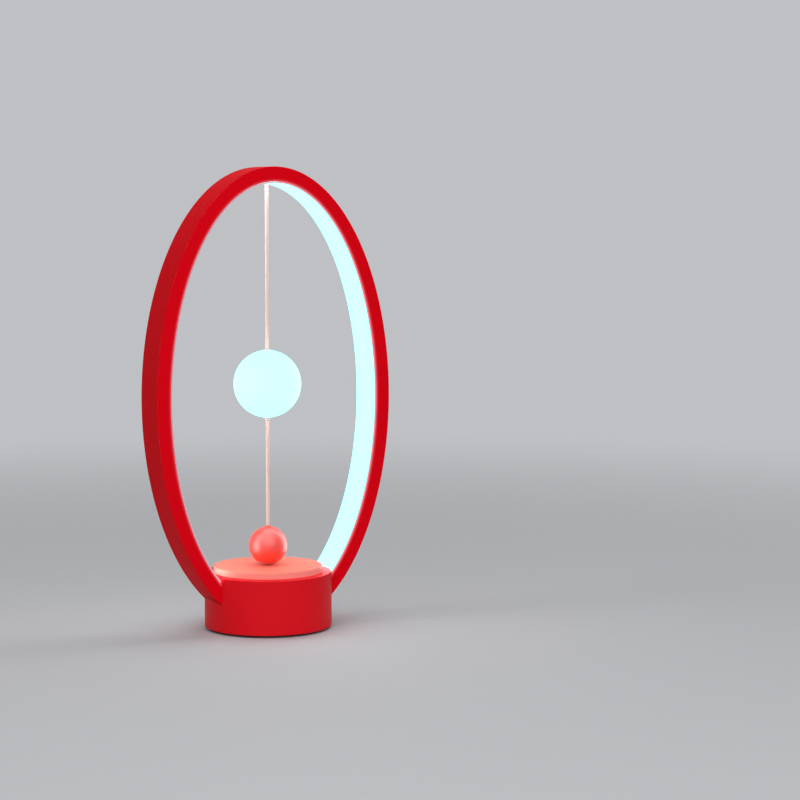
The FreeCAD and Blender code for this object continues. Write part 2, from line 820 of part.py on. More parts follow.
def usb_tongue():
    """The contact tongue inside the port."""
    half = s.port_tongue_width / 2
    middle = board_top + s.port_height / 2
    block = bind(doc.addObject("Part::Box", "usb_tongue"), Length=s.port_tongue_width,
                 Width=s.port_tongue_length, Height=s.port_tongue_thickness)
    return put(block, -half, port_back + s.port_sheet, middle - s.port_tongue_thickness / 2)


def tube(points, radius):
    """A round wire along straight runs joined by tangent arcs."""
    share = 0.45  # of the shorter run that an arc takes on each side of its corner
    edges, start = [], points[0]
    for before, corner, after in zip(points, points[1:], points[2:]):
        back, ahead = (before - corner), (after - corner)
        reach = share * min(back.Length, ahead.Length)
        back.normalize()
        ahead.normalize()
        entry, leave = corner + back * reach, corner + ahead * reach
        half_turn = (math.pi - back.getAngle(ahead)) / 2
        bend = reach / math.tan(half_turn)
        inward = (back + ahead).normalize()
        middle = corner + inward * (math.hypot(reach, bend) - bend)
        edges.append(Part.LineSegment(start, entry).toShape())
        edges.append(Part.Arc(entry, middle, leave).toShape())
        start = leave
    edges.append(Part.LineSegment(start, points[-1]).toShape())
    path = Part.Wire(edges)
    section = Part.Wire(Part.makeCircle(radius, points[0], points[1] - points[0]))
    return path.makePipeShell([section], True, False)


def wires(name, routes):
    """Insulated wires that make one node."""
    bundle = doc.addObject("Part::Feature", name)
    bundle.Shape = Part.makeCompound([
        tube([Vector(*(Rule.of(place).value for place in point)) for point in route], s.wire_radius.value)
        for route in routes
    ])
    return bundle


contact_y = s.board_front + s.board_thickness - s.glue_gap
contact_z = board_top + s.board_thickness * 1.2


def strip_leads():
    """Two wires from the end of the light strip, past the right leg's plug, to the board's socket."""
    beside_plug = (leg_width + cavity_half) / 2
    turn_x = leg_end + s.plug_length + s.wire_spread
    on_strip = turn_x + s.wire_spread
    routes = []
    for number in (0, 1):
        start_y = s.wire_spread * (1 - number)
        inset = s.ring_face / 2 + s.wire_spread * (number - 0.5)
        leave = ring_height_at(leg_end, inset)
        inner = s.wire_spread * (1.5 - number)
        x = s.contact_pitch * (1 + number)
        routes.append([
            (on_strip, start_y, ring_height_at(on_strip, strip_front + s.wire_radius * 1.1)),
            (turn_x, start_y, ring_height_at(turn_x, inset)),
            (turn_x, beside_plug, ring_height_at(turn_x, inset)),
            (leg_end + s.plug_length / 2, beside_plug, ring_height_at(leg_end + s.plug_length / 2, inset)),
            (leg_end, beside_plug, leave), (leg_end - s.plug_length / 2, beside_plug, leave),
            (leg_end / 2, beside_plug - inner, contact_z),
            (x, contact_y - s.wire_spread * (3 - number), contact_z), (x, contact_y, contact_z),
        ])
    return wires("strip_leads", routes)


def sensor_leads():
    """Two wires from the sensor board down to the control board's socket."""
    routes = []
    for number in (0, 1):
        x = -s.contact_pitch * (1 + number)
        y = hub_radius / 2
        routes.append([
            (x * 2, y, sensor_board_low - s.glue_gap), (x * 2, y, (sensor_board_low + contact_z) / 2),
            (x, y - s.wire_spread / 2, contact_z), (x, contact_y, contact_z),
        ])
    return wires("sensor_leads", routes)


# ---------------------------------------------------------------- hanger at the top of the ring


def hanger_block():
    """The block between the ring's plates that carries the pendant."""
    narrow = cavity_half - s.seat_gap * 2 - s.diffuser_rib_wall
    rib_top = ring_top - diffuser_back + s.diffuser_rib + s.seat_gap
    x = (-s.hanger_half_length, s.hanger_half_length)
    blank = together("hanger_blank", [
        box(x, (-narrow, narrow), (hanger_low, hanger_top)),
        box(x, (-cavity_half, cavity_half), (rib_top, hanger_top)),
    ])
    bore = cylinder(s.socket_radius + s.seat_gap, hanger_top - hanger_low, z=hanger_low)
    seat = cylinder(s.socket_flange + s.seat_gap, s.socket_flange_thickness + s.seat_gap, z=hanger_low)
    return cut("hanger_block", blank, [bore, seat])


def hanger_socket():
    """The turned socket that the upper bead swings in. Its mouth is level with the diffuser."""
    flange_top = hanger_low + s.socket_flange_thickness
    blank = turned("socket_blank", [
        (tail_bore, upper_pivot), (s.socket_radius, upper_pivot), (s.socket_radius, hanger_low),
        (s.socket_flange, hanger_low), (s.socket_flange, flange_top), (s.socket_radius, flange_top),
        (s.socket_radius, socket_top), (tail_bore, socket_top),
    ])
    return cut("hanger_socket", blank, [sphere(bead_seat, z=upper_pivot)])


def tail(name, start, end):
    """A cord's thin tail above a bead, with the knot that it hangs by at its end."""
    return together(name, [
        cylinder(s.tail_radius, end - start, z=start),
        sphere(s.knot_radius, z=end + s.knot_radius * 0.9),
    ])


def cord_tail():
    """The upper cord's tail and knot, inside the hanger."""
    return tail("cord_tail", upper_pivot + bead_seat, socket_top + s.glue_gap + s.knot_radius * 0.1)


def bead(name, z):
    """A bead that a cord swings on."""
    return put(bind(doc.addObject("Part::Sphere", name), Radius=s.bead_radius), z=z)


# ---------------------------------------------------------------- pendant


def upper_cord():
    """The cord from the ring to the globe. It starts under its bead and ends in a knot inside the globe."""
    knot_middle = globe_middle + cap_back - s.cord_knot_radius - s.seat_gap
    start = upper_pivot - s.bead_radius / 2
    blank = together("upper_cord_blank", [
        cylinder(s.cord_radius, start - knot_middle, z=knot_middle),
        sphere(s.cord_knot_radius, z=knot_middle),
    ])
    return cut("upper_cord", blank, [sphere(bead_seat, z=upper_pivot)])


def half_ball(radius, z, upper):
    """Half of a ball about height z."""
    half = put(bind(doc.addObject("Part::Sphere", "half"), Radius=radius), z=z)
    half.Angle1, half.Angle2 = (0, 90) if upper else (-90, 0)
    return half


def globe_hole():
    """The hole for a cap, through a whole globe."""
    radius = s.cap_radius + s.seat_gap
    return cylinder(radius, s.globe_radius * 2.5, z=globe_middle - s.globe_radius * 1.25)


def globe_upper_shell():
    """The upper half of the opal globe."""
    inside = sphere(globe_inside, z=globe_middle)
    return cut("globe_upper_shell", half_ball(s.globe_radius, globe_middle, True), [inside, globe_hole()])


def globe_lower_shell():
    """The lower half of the opal globe, with a lip that stands up inside the upper half."""
    near, far = globe_inside - s.globe_lip_wall - s.hole_gap, globe_inside - s.hole_gap
    in_wall = globe_inside + s.globe_wall / 4
    lip = turned("globe_lip_ring", [
        (near, globe_middle - s.globe_lip), (in_wall, globe_middle - s.globe_lip), (in_wall, globe_middle),
        (far, globe_middle), (far, globe_middle + s.globe_lip), (near, globe_middle + s.globe_lip),
    ])
    inside = sphere(globe_inside, z=globe_middle)
    cup = cut("lower_cup", half_ball(s.globe_radius, globe_middle, False), [inside, globe_hole()])
    return together("globe_lower_shell", [cup, lip])


def globe_top_cap():
    """The turned cap that the upper cord enters the globe through."""
    face = s.globe_radius + s.cap_proud
    return turned("globe_top_cap", [
        (cord_bore, globe_middle + cap_back), (s.cap_flange, globe_middle + cap_back),
        (s.cap_flange, globe_middle + cap_seat), (s.cap_radius, globe_middle + cap_seat),
        (s.cap_radius, globe_middle + face), (cord_bore, globe_middle + face),
    ], rounded=[(4, s.cap_proud / 2)])


def globe_bottom_cap():
    """The turned cap below the globe, with the seat that the lower bead swings in."""
    blank = turned("bottom_cap_blank", [
        (tail_bore, lower_pivot), (s.cap_radius, lower_pivot), (s.cap_radius, globe_middle - cap_seat),
        (s.cap_flange, globe_middle - cap_seat), (s.cap_flange, globe_middle - cap_back),
        (tail_bore, globe_middle - cap_back),
    ], rounded=[(1, s.cap_proud / 2)])
    return cut("globe_bottom_cap", blank, [sphere(bead_seat, z=lower_pivot)])


def tether_tail():
    """The lower cord's tail and knot, inside the globe's core."""
    knot_seat = globe_middle - cap_back + s.glue_gap
    return tail("tether_tail", lower_pivot + bead_seat, knot_seat + s.knot_radius * 0.1)


def globe_core():
    """The tube between the two caps, with a shoulder that the globe's circuit board rests on."""
    shoulder_top = globe_middle - s.globe_board_thickness / 2
    shoulder_low = shoulder_top - s.core_shoulder_thickness
    bore = s.core_radius - s.core_wall
    return turned("globe_core", [
        (bore, globe_middle - cap_back), (s.core_radius, globe_middle - cap_back),
        (s.core_radius, shoulder_low), (s.core_shoulder, shoulder_low), (s.core_shoulder, shoulder_top),
        (s.core_radius, shoulder_top), (s.core_radius, globe_middle + cap_back),
        (bore, globe_middle + cap_back),
    ])


def globe_led_board():
    """The round circuit board in the middle of the globe."""
    low = globe_middle - s.globe_board_thickness / 2
    plate = cylinder(s.globe_board_radius, s.globe_board_thickness, z=low)
    hole = cylinder(s.core_radius + s.seat_gap, s.globe_board_thickness, z=low)
    return cut("globe_led_board", plate, [hole])


def globe_leds():
    """The lamps on both sides of the globe's circuit board."""
    half = s.led_width / 2
    lamps = []
    rise = s.globe_board_thickness / 2
    angles = [360 / LED_COUNT_ON_GLOBE_BOARD * number for number in range(LED_COUNT_ON_GLOBE_BOARD)]
    for x, y in around(s.globe_led_circle, angles):
        sides = ((x - half, x + half), (y - half, y + half))
        lamps.append(box(*sides, (globe_middle + rise, globe_middle + rise + s.led_thickness)))
        lamps.append(box(*sides, (globe_middle - rise - s.led_thickness, globe_middle - rise)))
    return group("globe_leds", lamps)


# ---------------------------------------------------------------- tether and ball


def lower_cord():
    """The cord from the globe to the ball. It starts under its bead and ends inside the ball's ferrule."""
    start = lower_pivot - s.bead_radius / 2
    end = ferrule_top - s.ferrule_depth / 2
    return cut("lower_cord", cylinder(s.cord_radius, start - end, z=end), [sphere(bead_seat, z=lower_pivot)])


def ball():
    """The small ball, with a pocket for its magnet below and a seat for its ferrule above."""
    top = ball_middle + s.ball_radius
    low = ball_middle - s.ball_radius
    pocket = s.ball_magnet_radius + s.seat_gap
    pocket_depth = s.ball_plug_thickness + s.ball_magnet_thickness + s.seat_gap
    ferrule_seat = cylinder(s.ferrule_radius + s.seat_gap, s.ferrule_depth * 2, z=top - s.ferrule_depth)
    magnet_pocket = cylinder(pocket, pocket_depth + s.ball_radius, z=low - s.ball_radius)
    return cut("ball", sphere(s.ball_radius, z=ball_middle), [ferrule_seat, magnet_pocket])


def ball_plug():
    """The plug that closes the ball's magnet pocket and completes its round underside."""
    low = ball_middle - s.ball_radius
    bar = cylinder(s.ball_magnet_radius, s.ball_plug_thickness, z=low)
    return shared("ball_plug", sphere(s.ball_radius, z=ball_middle), bar)


def ball_ferrule():
    """The small sleeve in the top of the ball that grips the cord."""
    low = ball_middle + s.ball_radius - s.ferrule_depth
    bore_end = ferrule_top - s.ferrule_depth / 2 - s.seat_gap
    return turned("ball_ferrule", [
        (0, low), (s.ferrule_radius, low), (s.ferrule_radius, ferrule_top), (cord_bore, ferrule_top),
        (cord_bore, bore_end), (0, bore_end),
    ], rounded=[(2, s.ferrule_proud / 4)])


nodes = [
    base_shell(), bottom_cover(), bottom_screws(), rubber_feet(),
    disc("ballast", ballast_radius, s.ballast_thickness, floor_top),
    ring_bracket(), bracket_screws(), ring_end_plugs(), ring_screws(),
    ring_channel(), ring_front_cover(), diffuser(), led_strip(),
    strip_parts("strip_leds", s.led_length, s.led_width, s.led_thickness, 0.0),
    strip_parts("strip_resistors", s.resistor_length, s.resistor_width, s.resistor_thickness, 0.5),
    deck(), deck_screws(),
    disc("base_magnet", s.magnet_radius, s.magnet_thickness, magnet_low),
    disc("magnet_keeper", s.magnet_radius, s.keeper_thickness, hub_low),
    sensor_board(), sensor_screws(), hall_sensor(),
    control_board(), board_screws(), board_parts(), usb_socket(), usb_tongue(), strip_leads(), sensor_leads(),
    hanger_block(), hanger_socket(), cord_tail(),
    bead("upper_bead", upper_pivot), upper_cord(),
    globe_upper_shell(), globe_lower_shell(), globe_top_cap(), globe_bottom_cap(), tether_tail(),
    globe_core(), globe_led_board(), globe_leds(),
    bead("lower_bead", lower_pivot), lower_cord(),
    ball(), ball_plug(), ball_ferrule(),
    disc("ball_magnet", s.ball_magnet_radius, s.ball_magnet_thickness,
         ball_middle - s.ball_radius + s.ball_plug_thickness),
]

doc.recompute()
for item in doc.Objects:
    if {"Invalid", "Error"} & set(item.State):
        raise RuntimeError(f"{item.Name} did not build: {item.State}")
for node in nodes:
    if node.Shape.isNull() or not node.Shape.isValid():
        raise RuntimeError(f"{node.Label} has no valid shape")

os.makedirs("parts", exist_ok=True)
for node in nodes:
    node.Shape.exportStep(f"parts/{node.Label}.step")
    solids = node.Shape.Solids
    print(f"{node.Label}: {len(solids)} solids, {sum(solid.Volume for solid in solids):.1f} mm3")
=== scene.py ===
"""A balance lamp: a standing oval of light, a hanging globe and a small ball that switches it."""

import json
import logging
import math
from abc import ABC, abstractmethod
from dataclasses import dataclass, replace
from enum import Enum
from functools import cached_property
from typing import Callable, Protocol, Sequence

import bmesh
import bpy
from mathutils import Matrix, Vector


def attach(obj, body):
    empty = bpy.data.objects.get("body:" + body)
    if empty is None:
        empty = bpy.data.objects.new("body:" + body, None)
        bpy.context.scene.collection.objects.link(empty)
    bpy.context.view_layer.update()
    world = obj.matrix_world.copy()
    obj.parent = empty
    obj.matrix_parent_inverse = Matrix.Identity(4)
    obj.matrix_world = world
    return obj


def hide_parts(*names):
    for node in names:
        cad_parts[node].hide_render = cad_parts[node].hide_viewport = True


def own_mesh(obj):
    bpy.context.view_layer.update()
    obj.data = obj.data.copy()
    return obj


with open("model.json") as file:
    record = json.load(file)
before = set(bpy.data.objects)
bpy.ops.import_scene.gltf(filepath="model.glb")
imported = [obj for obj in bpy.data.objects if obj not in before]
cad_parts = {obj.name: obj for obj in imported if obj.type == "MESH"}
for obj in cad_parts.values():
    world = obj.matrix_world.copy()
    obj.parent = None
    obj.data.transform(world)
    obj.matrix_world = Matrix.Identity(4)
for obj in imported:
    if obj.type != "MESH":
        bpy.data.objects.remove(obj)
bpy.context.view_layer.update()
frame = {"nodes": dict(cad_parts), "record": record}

log = logging.getLogger("balance_lamp")
MM = 0.001
SHARP_ANGLE = 38.0  # an edge past this many degrees is sharp
MERGE_DISTANCE = 1e-7  # points closer than this, in metres, are one point
SUPPORT_SHARE = 0.3  # how far beside a rounding its support point is, as a share of the rounding
NOISE_MIDDLE = 0.5  # the middle of a noise's values
MEASURE = "measure"  # the UV map that holds how far along and across each point is
MEASURE_PARTS = 720  # how many parts the oval has when its length is measured
TURN_SEED = 7  # the seed of the turns of the parts that stand on a circle
ONE_INPUT = ("COSINE", "SINE", "ABSOLUTE")  # the operations on one number

Triple = tuple[float, float, float]
Colour = Triple
Node, Socket, Tree = bpy.types.Node, bpy.types.NodeSocket, bpy.types.NodeTree
Material, Mesh, Object = bpy.types.Material, bpy.types.Mesh, bpy.types.Object


# ------------------------------------------------------------------ node trees


class Graph:
    """Short calls that add nodes to a tree and join them."""

    def __init__(self, tree: Tree) -> None:
        """Work on one tree."""
        self.tree = tree

    def add(self, kind: str, inputs: dict | None = None, **settings: object) -> Node:
        """Add a node.

        Args:
            kind: the node's type name.
            inputs: a value or a socket to join, for each input by name or number.
            settings: the node's own settings.

        Returns:
            The new node.
        """
        node = self.tree.nodes.new(kind)
        for name, value in settings.items():
            setattr(node, name, value)
        for name, value in (inputs or {}).items():
            self.feed(node.inputs[name], value)
        return node

    def feed(self, target: Socket, value: object) -> None:
        """Join a socket to an input, or set the input to a value.

        Args:
            target: the input.
            value: a socket or a value.
        """
        if isinstance(value, Socket):
            self.tree.links.new(value, target)
        else:
            target.default_value = value

    def maths(self, operation: str, first: object, second: object = 0.0) -> Socket:
        """Add an operation on one or two numbers or sockets and return its result."""
        inputs = {0: first} if operation in ONE_INPUT else {0: first, 1: second}
        return self.add("ShaderNodeMath", inputs, operation=operation).outputs[0]

    def plus(self, first: object, second: object) -> Socket:
        """Add two numbers or sockets."""
        return self.maths("ADD", first, second)

    def minus(self, first: object, second: object) -> Socket:
        """Take the second number or socket from the first."""
        return self.maths("SUBTRACT", first, second)

    def times(self, first: object, second: object) -> Socket:
        """Multiply two numbers or sockets."""
        return self.maths("MULTIPLY", first, second)

    def over(self, first: object, second: object) -> Socket:
        """Divide the first number or socket by the second."""
        return self.maths("DIVIDE", first, second)

    def blend(self, share: object, first: object, second: object) -> Socket:
        """Mix two colours by a share and return the colour."""
        node = self.add("ShaderNodeMix", {0: share, 6: first, 7: second}, data_type="RGBA")
        return node.outputs[2]

    def shade(self, colour: object, value: Socket) -> Socket:
        """Make a colour lighter or darker by a value, where 1 leaves it alone."""
        return self.add("ShaderNodeHueSaturation", {"Value": value, "Color": colour}).outputs[0]

    def noise(self, vector: Socket, scale: object, detail: float = 2.0, distortion: float = 0.0) -> Socket:
        """Add a noise texture and return its value, from 0 to 1."""
        inputs = {"Vector": vector, "Scale": scale, "Detail": detail, "Distortion": distortion}
        return self.add("ShaderNodeTexNoise", inputs).outputs[0]

    def cloud(self, vector: Socket, size: object, detail: float = 2.0, distortion: float = 0.0) -> Socket:
        """Add a noise whose patches have a size in metres."""
        return self.noise(vector, self.over(1.0, size), detail, distortion)

    def steps(self, value: Socket, low: float, high: float) -> Socket:
        """Stretch a value so that low gives 0 and high gives 1, and clamp it."""
        inputs = {"Value": value, "From Min": low, "From Max": high}
        return self.add("ShaderNodeMapRange", inputs).outputs[0]


@dataclass(frozen=True)
class Port:
    """A named socket of a group, with its kind and, for an input, its usual value."""

    name: str
    kind: str = "NodeSocketFloat"
    usual: object = None


PLACE = Port("Vector", "NodeSocketVector")
COLOUR = Port("Colour", "NodeSocketColor", (1, 1, 1, 1))
HEIGHT = Port("Height")


class GroupGraph(Graph):
    """A shader group's tree, with its inputs by name."""

    def __init__(self, name: str, entries: Sequence[Port], results: Sequence[Port]) -> None:
        """Start a group.

        Args:
            name: the group's name.
            entries: its inputs.
            results: its outputs.
        """
        super().__init__(bpy.data.node_groups.new(name, "ShaderNodeTree"))
        for port in entries:
            item = self.tree.interface.new_socket(port.name, in_out="INPUT", socket_type=port.kind)
            if port.usual is not None:
                item.default_value = port.usual
        for port in results:
            self.tree.interface.new_socket(port.name, in_out="OUTPUT", socket_type=port.kind)
        self.given = {socket.name: socket for socket in self.add("NodeGroupInput").outputs}
        self.end = self.add("NodeGroupOutput")

    def gives(self, results: dict[str, Socket]) -> Tree:
        """Join the results to the group's outputs.

        Args:
            results: a socket for each output by name.

        Returns:
            The group's tree.
        """
        for name, value in results.items():
            self.tree.links.new(value, self.end.inputs[name])
        return self.tree


class Effects:
    """Shader groups that several finishes share. Each is built once, when it is first asked for."""

    hair_depth: float = 0.35
    line_shift: float = 0.3
    fluff_share: float = 0.4

    @cached_property
    def skin(self) -> Tree:
        """Fine grain over a slow ripple, as a moulding has.

        Returns:
            The group's tree.
        """
        sizes = [Port("Grain Size", usual=0.6 * MM), Port("Ripple Size", usual=8 * MM),
                 Port("Ripple Share", usual=0.5)]
        graph = GroupGraph("moulded_skin", [PLACE, *sizes], [HEIGHT, Port("Mottle")])
        given = graph.given
        grain = graph.cloud(given["Vector"], given["Grain Size"])
        ripple = graph.cloud(given["Vector"], given["Ripple Size"], detail=1.0)
        rest = graph.minus(1.0, given["Ripple Share"])
        height = graph.plus(graph.times(grain, rest), graph.times(ripple, given["Ripple Share"]))
        return graph.gives({"Height": height, "Mottle": graph.minus(grain, NOISE_MIDDLE)})

    @cached_property
    def drift(self) -> Tree:
        """A colour that wanders a little lighter and darker over the surface.

        Returns:
            The group's tree.
        """
        sizes = [Port("Size", usual=30 * MM), Port("Amount", usual=0.05)]
        graph = GroupGraph("tone_drift", [PLACE, COLOUR, *sizes], [COLOUR])
        given = graph.given
        patches = graph.cloud(given["Vector"], given["Size"], detail=4.0, distortion=0.6)
        swing = graph.times(graph.minus(patches, NOISE_MIDDLE), given["Amount"])
        value = graph.plus(1.0, graph.times(swing, 2.0))
        return graph.gives({"Colour": graph.shade(given["Colour"], value)})

    @cached_property
    def edges(self) -> Tree:
        """Where handling has polished the rounded edges.

        Returns:
            The group's tree.
        """
        graph = GroupGraph("rubbed_edges", [PLACE, Port("Amount", usual=0.5)], [Port("Mask")])
        place = graph.given["Vector"]
        worn = graph.add("ShaderNodeAttribute", attribute_name="wear").outputs["Fac"]
        patches = graph.noise(place, scale=130.0, detail=5.0, distortion=0.4)
        nicks = graph.noise(place, scale=900.0)
        mask = graph.times(graph.times(worn, graph.steps(patches, low=0.42, high=0.7)),
                           graph.steps(nicks, low=0.35, high=0.75))
        return graph.gives({"Mask": graph.times(mask, graph.given["Amount"])})

    @cached_property
    def handling(self) -> Tree:
        """Faint smears and hairlines that change how glossy a surface is, and specks of dust.

        Returns:
            The group's tree.
        """
        sizes = [Port("Size", usual=30 * MM), Port("Amount", usual=0.1)]
        graph = GroupGraph("handling_marks", [PLACE, *sizes], [Port("Shift"), Port("Dust")])
        given = graph.given
        smear = graph.cloud(given["Vector"], given["Size"], detail=5.0, distortion=1.2)
        scratched = graph.add("ShaderNodeMapping", {
            "Vector": given["Vector"], "Rotation": (0.6, 0.9, 0.3), "Scale": (60.0, 2200.0, 900.0)})
        hairs = graph.noise(scratched.outputs[0], scale=1.0, detail=1.0)
        hairs = graph.times(graph.steps(hairs, low=0.66, high=0.74), self.hair_depth)
        specks = graph.noise(given["Vector"], scale=2600.0, detail=1.0)
        shift = graph.times(graph.plus(graph.minus(smear, NOISE_MIDDLE), hairs), given["Amount"])
        return graph.gives({"Shift": shift, "Dust": graph.steps(specks, low=0.7, high=0.78)})

    @cached_property
    def brushed(self) -> Tree:
        """Fine drawn lines in a metal.

        Returns:
            The group's tree.
        """
        entries = [PLACE, Port("Line Size", usual=0.3 * MM)]
        graph = GroupGraph("drawn_lines", entries, [HEIGHT, Port("Shift")])
        place = graph.given["Vector"]
        drawn = graph.add("ShaderNodeMapping", {"Vector": place, "Scale": (0.05, 1.0, 1.0)})
        lines = graph.cloud(drawn.outputs[0], graph.given["Line Size"], detail=3.0)
        blotch = graph.noise(place, scale=160.0, detail=3.0)
        shift = graph.times(graph.minus(graph.plus(lines, blotch), 2 * NOISE_MIDDLE), self.line_shift)
        return graph.gives({"Height": lines, "Shift": shift})

    @cached_property
    def lit(self) -> Tree:
        """The colour of light through opal plastic: a little stronger over each lamp behind it.

        Returns:
            The group's tree.
        """
        side = Port("Side Colour", "NodeSocketColor", (1, 1, 1, 1))
        sizes = [Port("Along"), Port("Across"), Port("Pitch", usual=12 * MM), Port("Ripple", usual=0.03),
                 Port("Fade", usual=0.1)]
        graph = GroupGraph("lit_opal", [COLOUR, side, *sizes], [COLOUR])
        given = graph.given
        wave = graph.maths("COSINE", graph.times(graph.over(given["Along"], given["Pitch"]), math.tau))
        spots = graph.plus(1.0, graph.times(wave, given["Ripple"]))
        square = graph.times(given["Across"], given["Across"])
        fall = graph.minus(1.0, graph.times(square, given["Fade"]))
        edge = graph.steps(graph.maths("ABSOLUTE", given["Across"]), low=0.968, high=0.998)
        colour = graph.blend(edge, given["Colour"], given["Side Colour"])
        return graph.gives({"Colour": graph.shade(colour, graph.times(spots, fall))})

    @cached_property
    def fibre(self) -> Tree:
        """Fine fibres along a yarn, from its own lengthwise and crosswise measure.

        Returns:
            The group's tree.
        """
        entries = [Port("UV", "NodeSocketVector"), Port("Fibre Size", usual=0.08 * MM)]
        graph = GroupGraph("yarn_fibre", entries, [HEIGHT, Port("Shade")])
        yarn = graph.given["UV"]
        drawn = graph.add("ShaderNodeMapping", {
            "Vector": yarn, "Scale": (0.06, 1.0, 1.0), "Rotation": (0.0, 0.0, 0.12)})
        lines = graph.cloud(drawn.outputs[0], graph.given["Fibre Size"])
        fluff = graph.noise(yarn, scale=700.0, detail=3.0)
        shade = graph.plus(graph.times(lines, 1 - self.fluff_share), graph.times(fluff, self.fluff_share))
        return graph.gives({"Height": lines, "Shade": shade})

    @cached_property
    def tracks(self) -> Tree:
        """Copper tracks under a circuit board's lacquer.

        Returns:
            The group's tree.
        """
        graph = GroupGraph("board_tracks", [PLACE, Port("Track Size", usual=2.2 * MM)], [Port("Mask")])
        scale = graph.over(1.0, graph.given["Track Size"])
        cells = graph.add(
            "ShaderNodeTexVoronoi", {"Vector": graph.given["Vector"], "Scale": scale, "Randomness": 0.55},
            distance="CHEBYCHEV").outputs["Distance"]
        return graph.gives({"Mask": graph.steps(cells, low=0.36, high=0.4)})


# ------------------------------------------------------------------ finishes


class MaterialGraph(Graph):
    """A material's tree, with its shader, its coordinates and calls for the shared effects."""

    def __init__(self, name: str, effects: Effects) -> None:
        """Start a material with one Principled shader.

        Args:
            name: the material's name.
            effects: the shared effects.
        """
        self.material = bpy.data.materials.new(name)
        self.material.use_nodes = True
        super().__init__(self.material.node_tree)
        self.tree.nodes.clear()
        self.effects = effects
        self.shader = self.add("ShaderNodeBsdfPrincipled")
        self.add("ShaderNodeOutputMaterial", {"Surface": self.shader.outputs[0]})
        where = self.add("ShaderNodeTexCoord")
        self.place, self.measure = where.outputs["Object"], where.outputs["UV"]

    def set(self, **values: object) -> None:
        """Set or join the shader's inputs. A name's underscores stand for spaces."""
        for name, value in values.items():
            self.feed(self.shader.inputs[name.replace("_", " ")], value)

    def effect(self, group: Tree, inputs: dict) -> Node:
        """Place a shared effect with its own values."""
        return self.add("ShaderNodeGroup", inputs, node_tree=group)

    def skin(self, grain: float, ripple: float, share: float) -> Node:
        """Place a moulding's skin, with the sizes of its grain and its ripple and the ripple's share."""
        sizes = {"Grain Size": grain, "Ripple Size": ripple, "Ripple Share": share}
        return self.effect(self.effects.skin, {"Vector": self.place, **sizes})

    def toned(self, colour: object, size: float, amount: float) -> Socket:
        """Let a colour wander in patches of a size, and return it."""
        inputs = {"Vector": self.place, "Colour": colour, "Size": size, "Amount": amount}
        return self.effect(self.effects.drift, inputs).outputs["Colour"]

    def marks(self, size: float, amount: float) -> Node:
        """Place the marks of handling, with smears of a size."""
        return self.effect(self.effects.handling, {"Vector": self.place, "Size": size, "Amount": amount})

    def rubbed(self, amount: float) -> Socket:
        """Place the polish of rubbed edges and return where it is."""
        return self.effect(self.effects.edges, {"Vector": self.place, "Amount": amount}).outputs["Mask"]

    def relief(self, height: Socket, depth: float) -> None:
        """Let a height, from 0 to 1, stand as far out of the surface as depth, in metres."""
        bump = self.add("ShaderNodeBump", {"Height": height, "Distance": depth, "Strength": 1.0})
        self.set(Normal=bump.outputs[0])


class Finish(ABC):
    """What a material looks like."""

    def material(self, name: str, effects: Effects) -> Material:
        """Build the material.

        Args:
            name: the material's name.
            effects: the shared effects.

        Returns:
            The material.
        """
        graph = MaterialGraph(name, effects)
        self.paint(graph)
        return graph.material

    @abstractmethod
    def paint(self, graph: MaterialGraph) -> None:
        """Join the finish's nodes to the material's shader."""


def rgba(colour: Colour) -> tuple[float, float, float, float]:
    """A colour with full cover."""
    return (*colour, 1.0)


@dataclass(frozen=True)
class Moulding(Finish):
    """Coloured plastic with a fine grain, faint marks of handling and polished edges, and where it is given
    one, a painted glow on the spots marked lit.
    """

    colour: Colour
    roughness: float
    grain: float = 0.5 * MM
    depth: float = 0.02 * MM
    drift: float = 0.03
    rubbed: float = 0.5
    coat: float = 0.0
    coat_roughness: float = 0.18
    coat_index: float = 1.5
    specular: float = 0.5
    sheen: float = 0.0
    # painted_edge_glow: a painted glow, an emission colour on the spots marked lit that stands in for the
    # opal strip's light; no lamp is there
    painted_edge_glow: Colour = (0.0, 0.0, 0.0)
    light_falloff: float = 3.0
    depth_of_colour: float = 0.82
    dust_tint: float = 0.03
    rub_tint: float = 0.45
    rub_gloss: float = 0.14
    mottle: float = 0.12

    def paint(self, graph: MaterialGraph) -> None:
        """Join the grain, the marks and the polished edges.

        Args:
            graph: the material's node tree.
        """
        skin = graph.skin(self.grain, ripple=9 * MM, share=0.45)
        toned = graph.toned(rgba(self.colour), size=35 * MM, amount=self.drift)
        rub = graph.rubbed(self.rubbed)
        marks = graph.marks(size=24 * MM, amount=0.12)
        pale = rgba(tuple(1.0 - (1.0 - part) * self.depth_of_colour for part in self.colour))
        dusty = graph.blend(graph.times(marks.outputs["Dust"], self.dust_tint), toned, pale)
        rough = graph.plus(marks.outputs["Shift"], self.roughness)
        rough = graph.plus(rough, graph.times(skin.outputs["Mottle"], self.mottle))
        rough = graph.minus(rough, graph.times(rub, self.rub_gloss))
        graph.set(Base_Color=graph.blend(graph.times(rub, self.rub_tint), dusty, pale), Roughness=rough,
                  Coat_Weight=self.coat, Coat_Roughness=self.coat_roughness, Coat_IOR=self.coat_index,
                  Specular_IOR_Level=self.specular, Sheen_Weight=self.sheen, Sheen_Roughness=0.35)
        # Painted glow: emission on the spots marked lit, painting in the opal strip's light on this plastic.
        if any(self.painted_edge_glow):
            lit = graph.add("ShaderNodeAttribute", attribute_name="lit").outputs["Fac"]
            share = graph.maths("POWER", lit, self.light_falloff)
            glow = graph.blend(share, rgba((0.0, 0.0, 0.0)), rgba(self.painted_edge_glow))
            graph.set(Emission_Color=glow, Emission_Strength=1.0)
        graph.relief(skin.outputs["Height"], depth=self.depth)


class LitFrom(Enum):
    """What an opal piece is lit by, which sets how its light varies."""

    STRIP = "strip"
    CORE = "core"


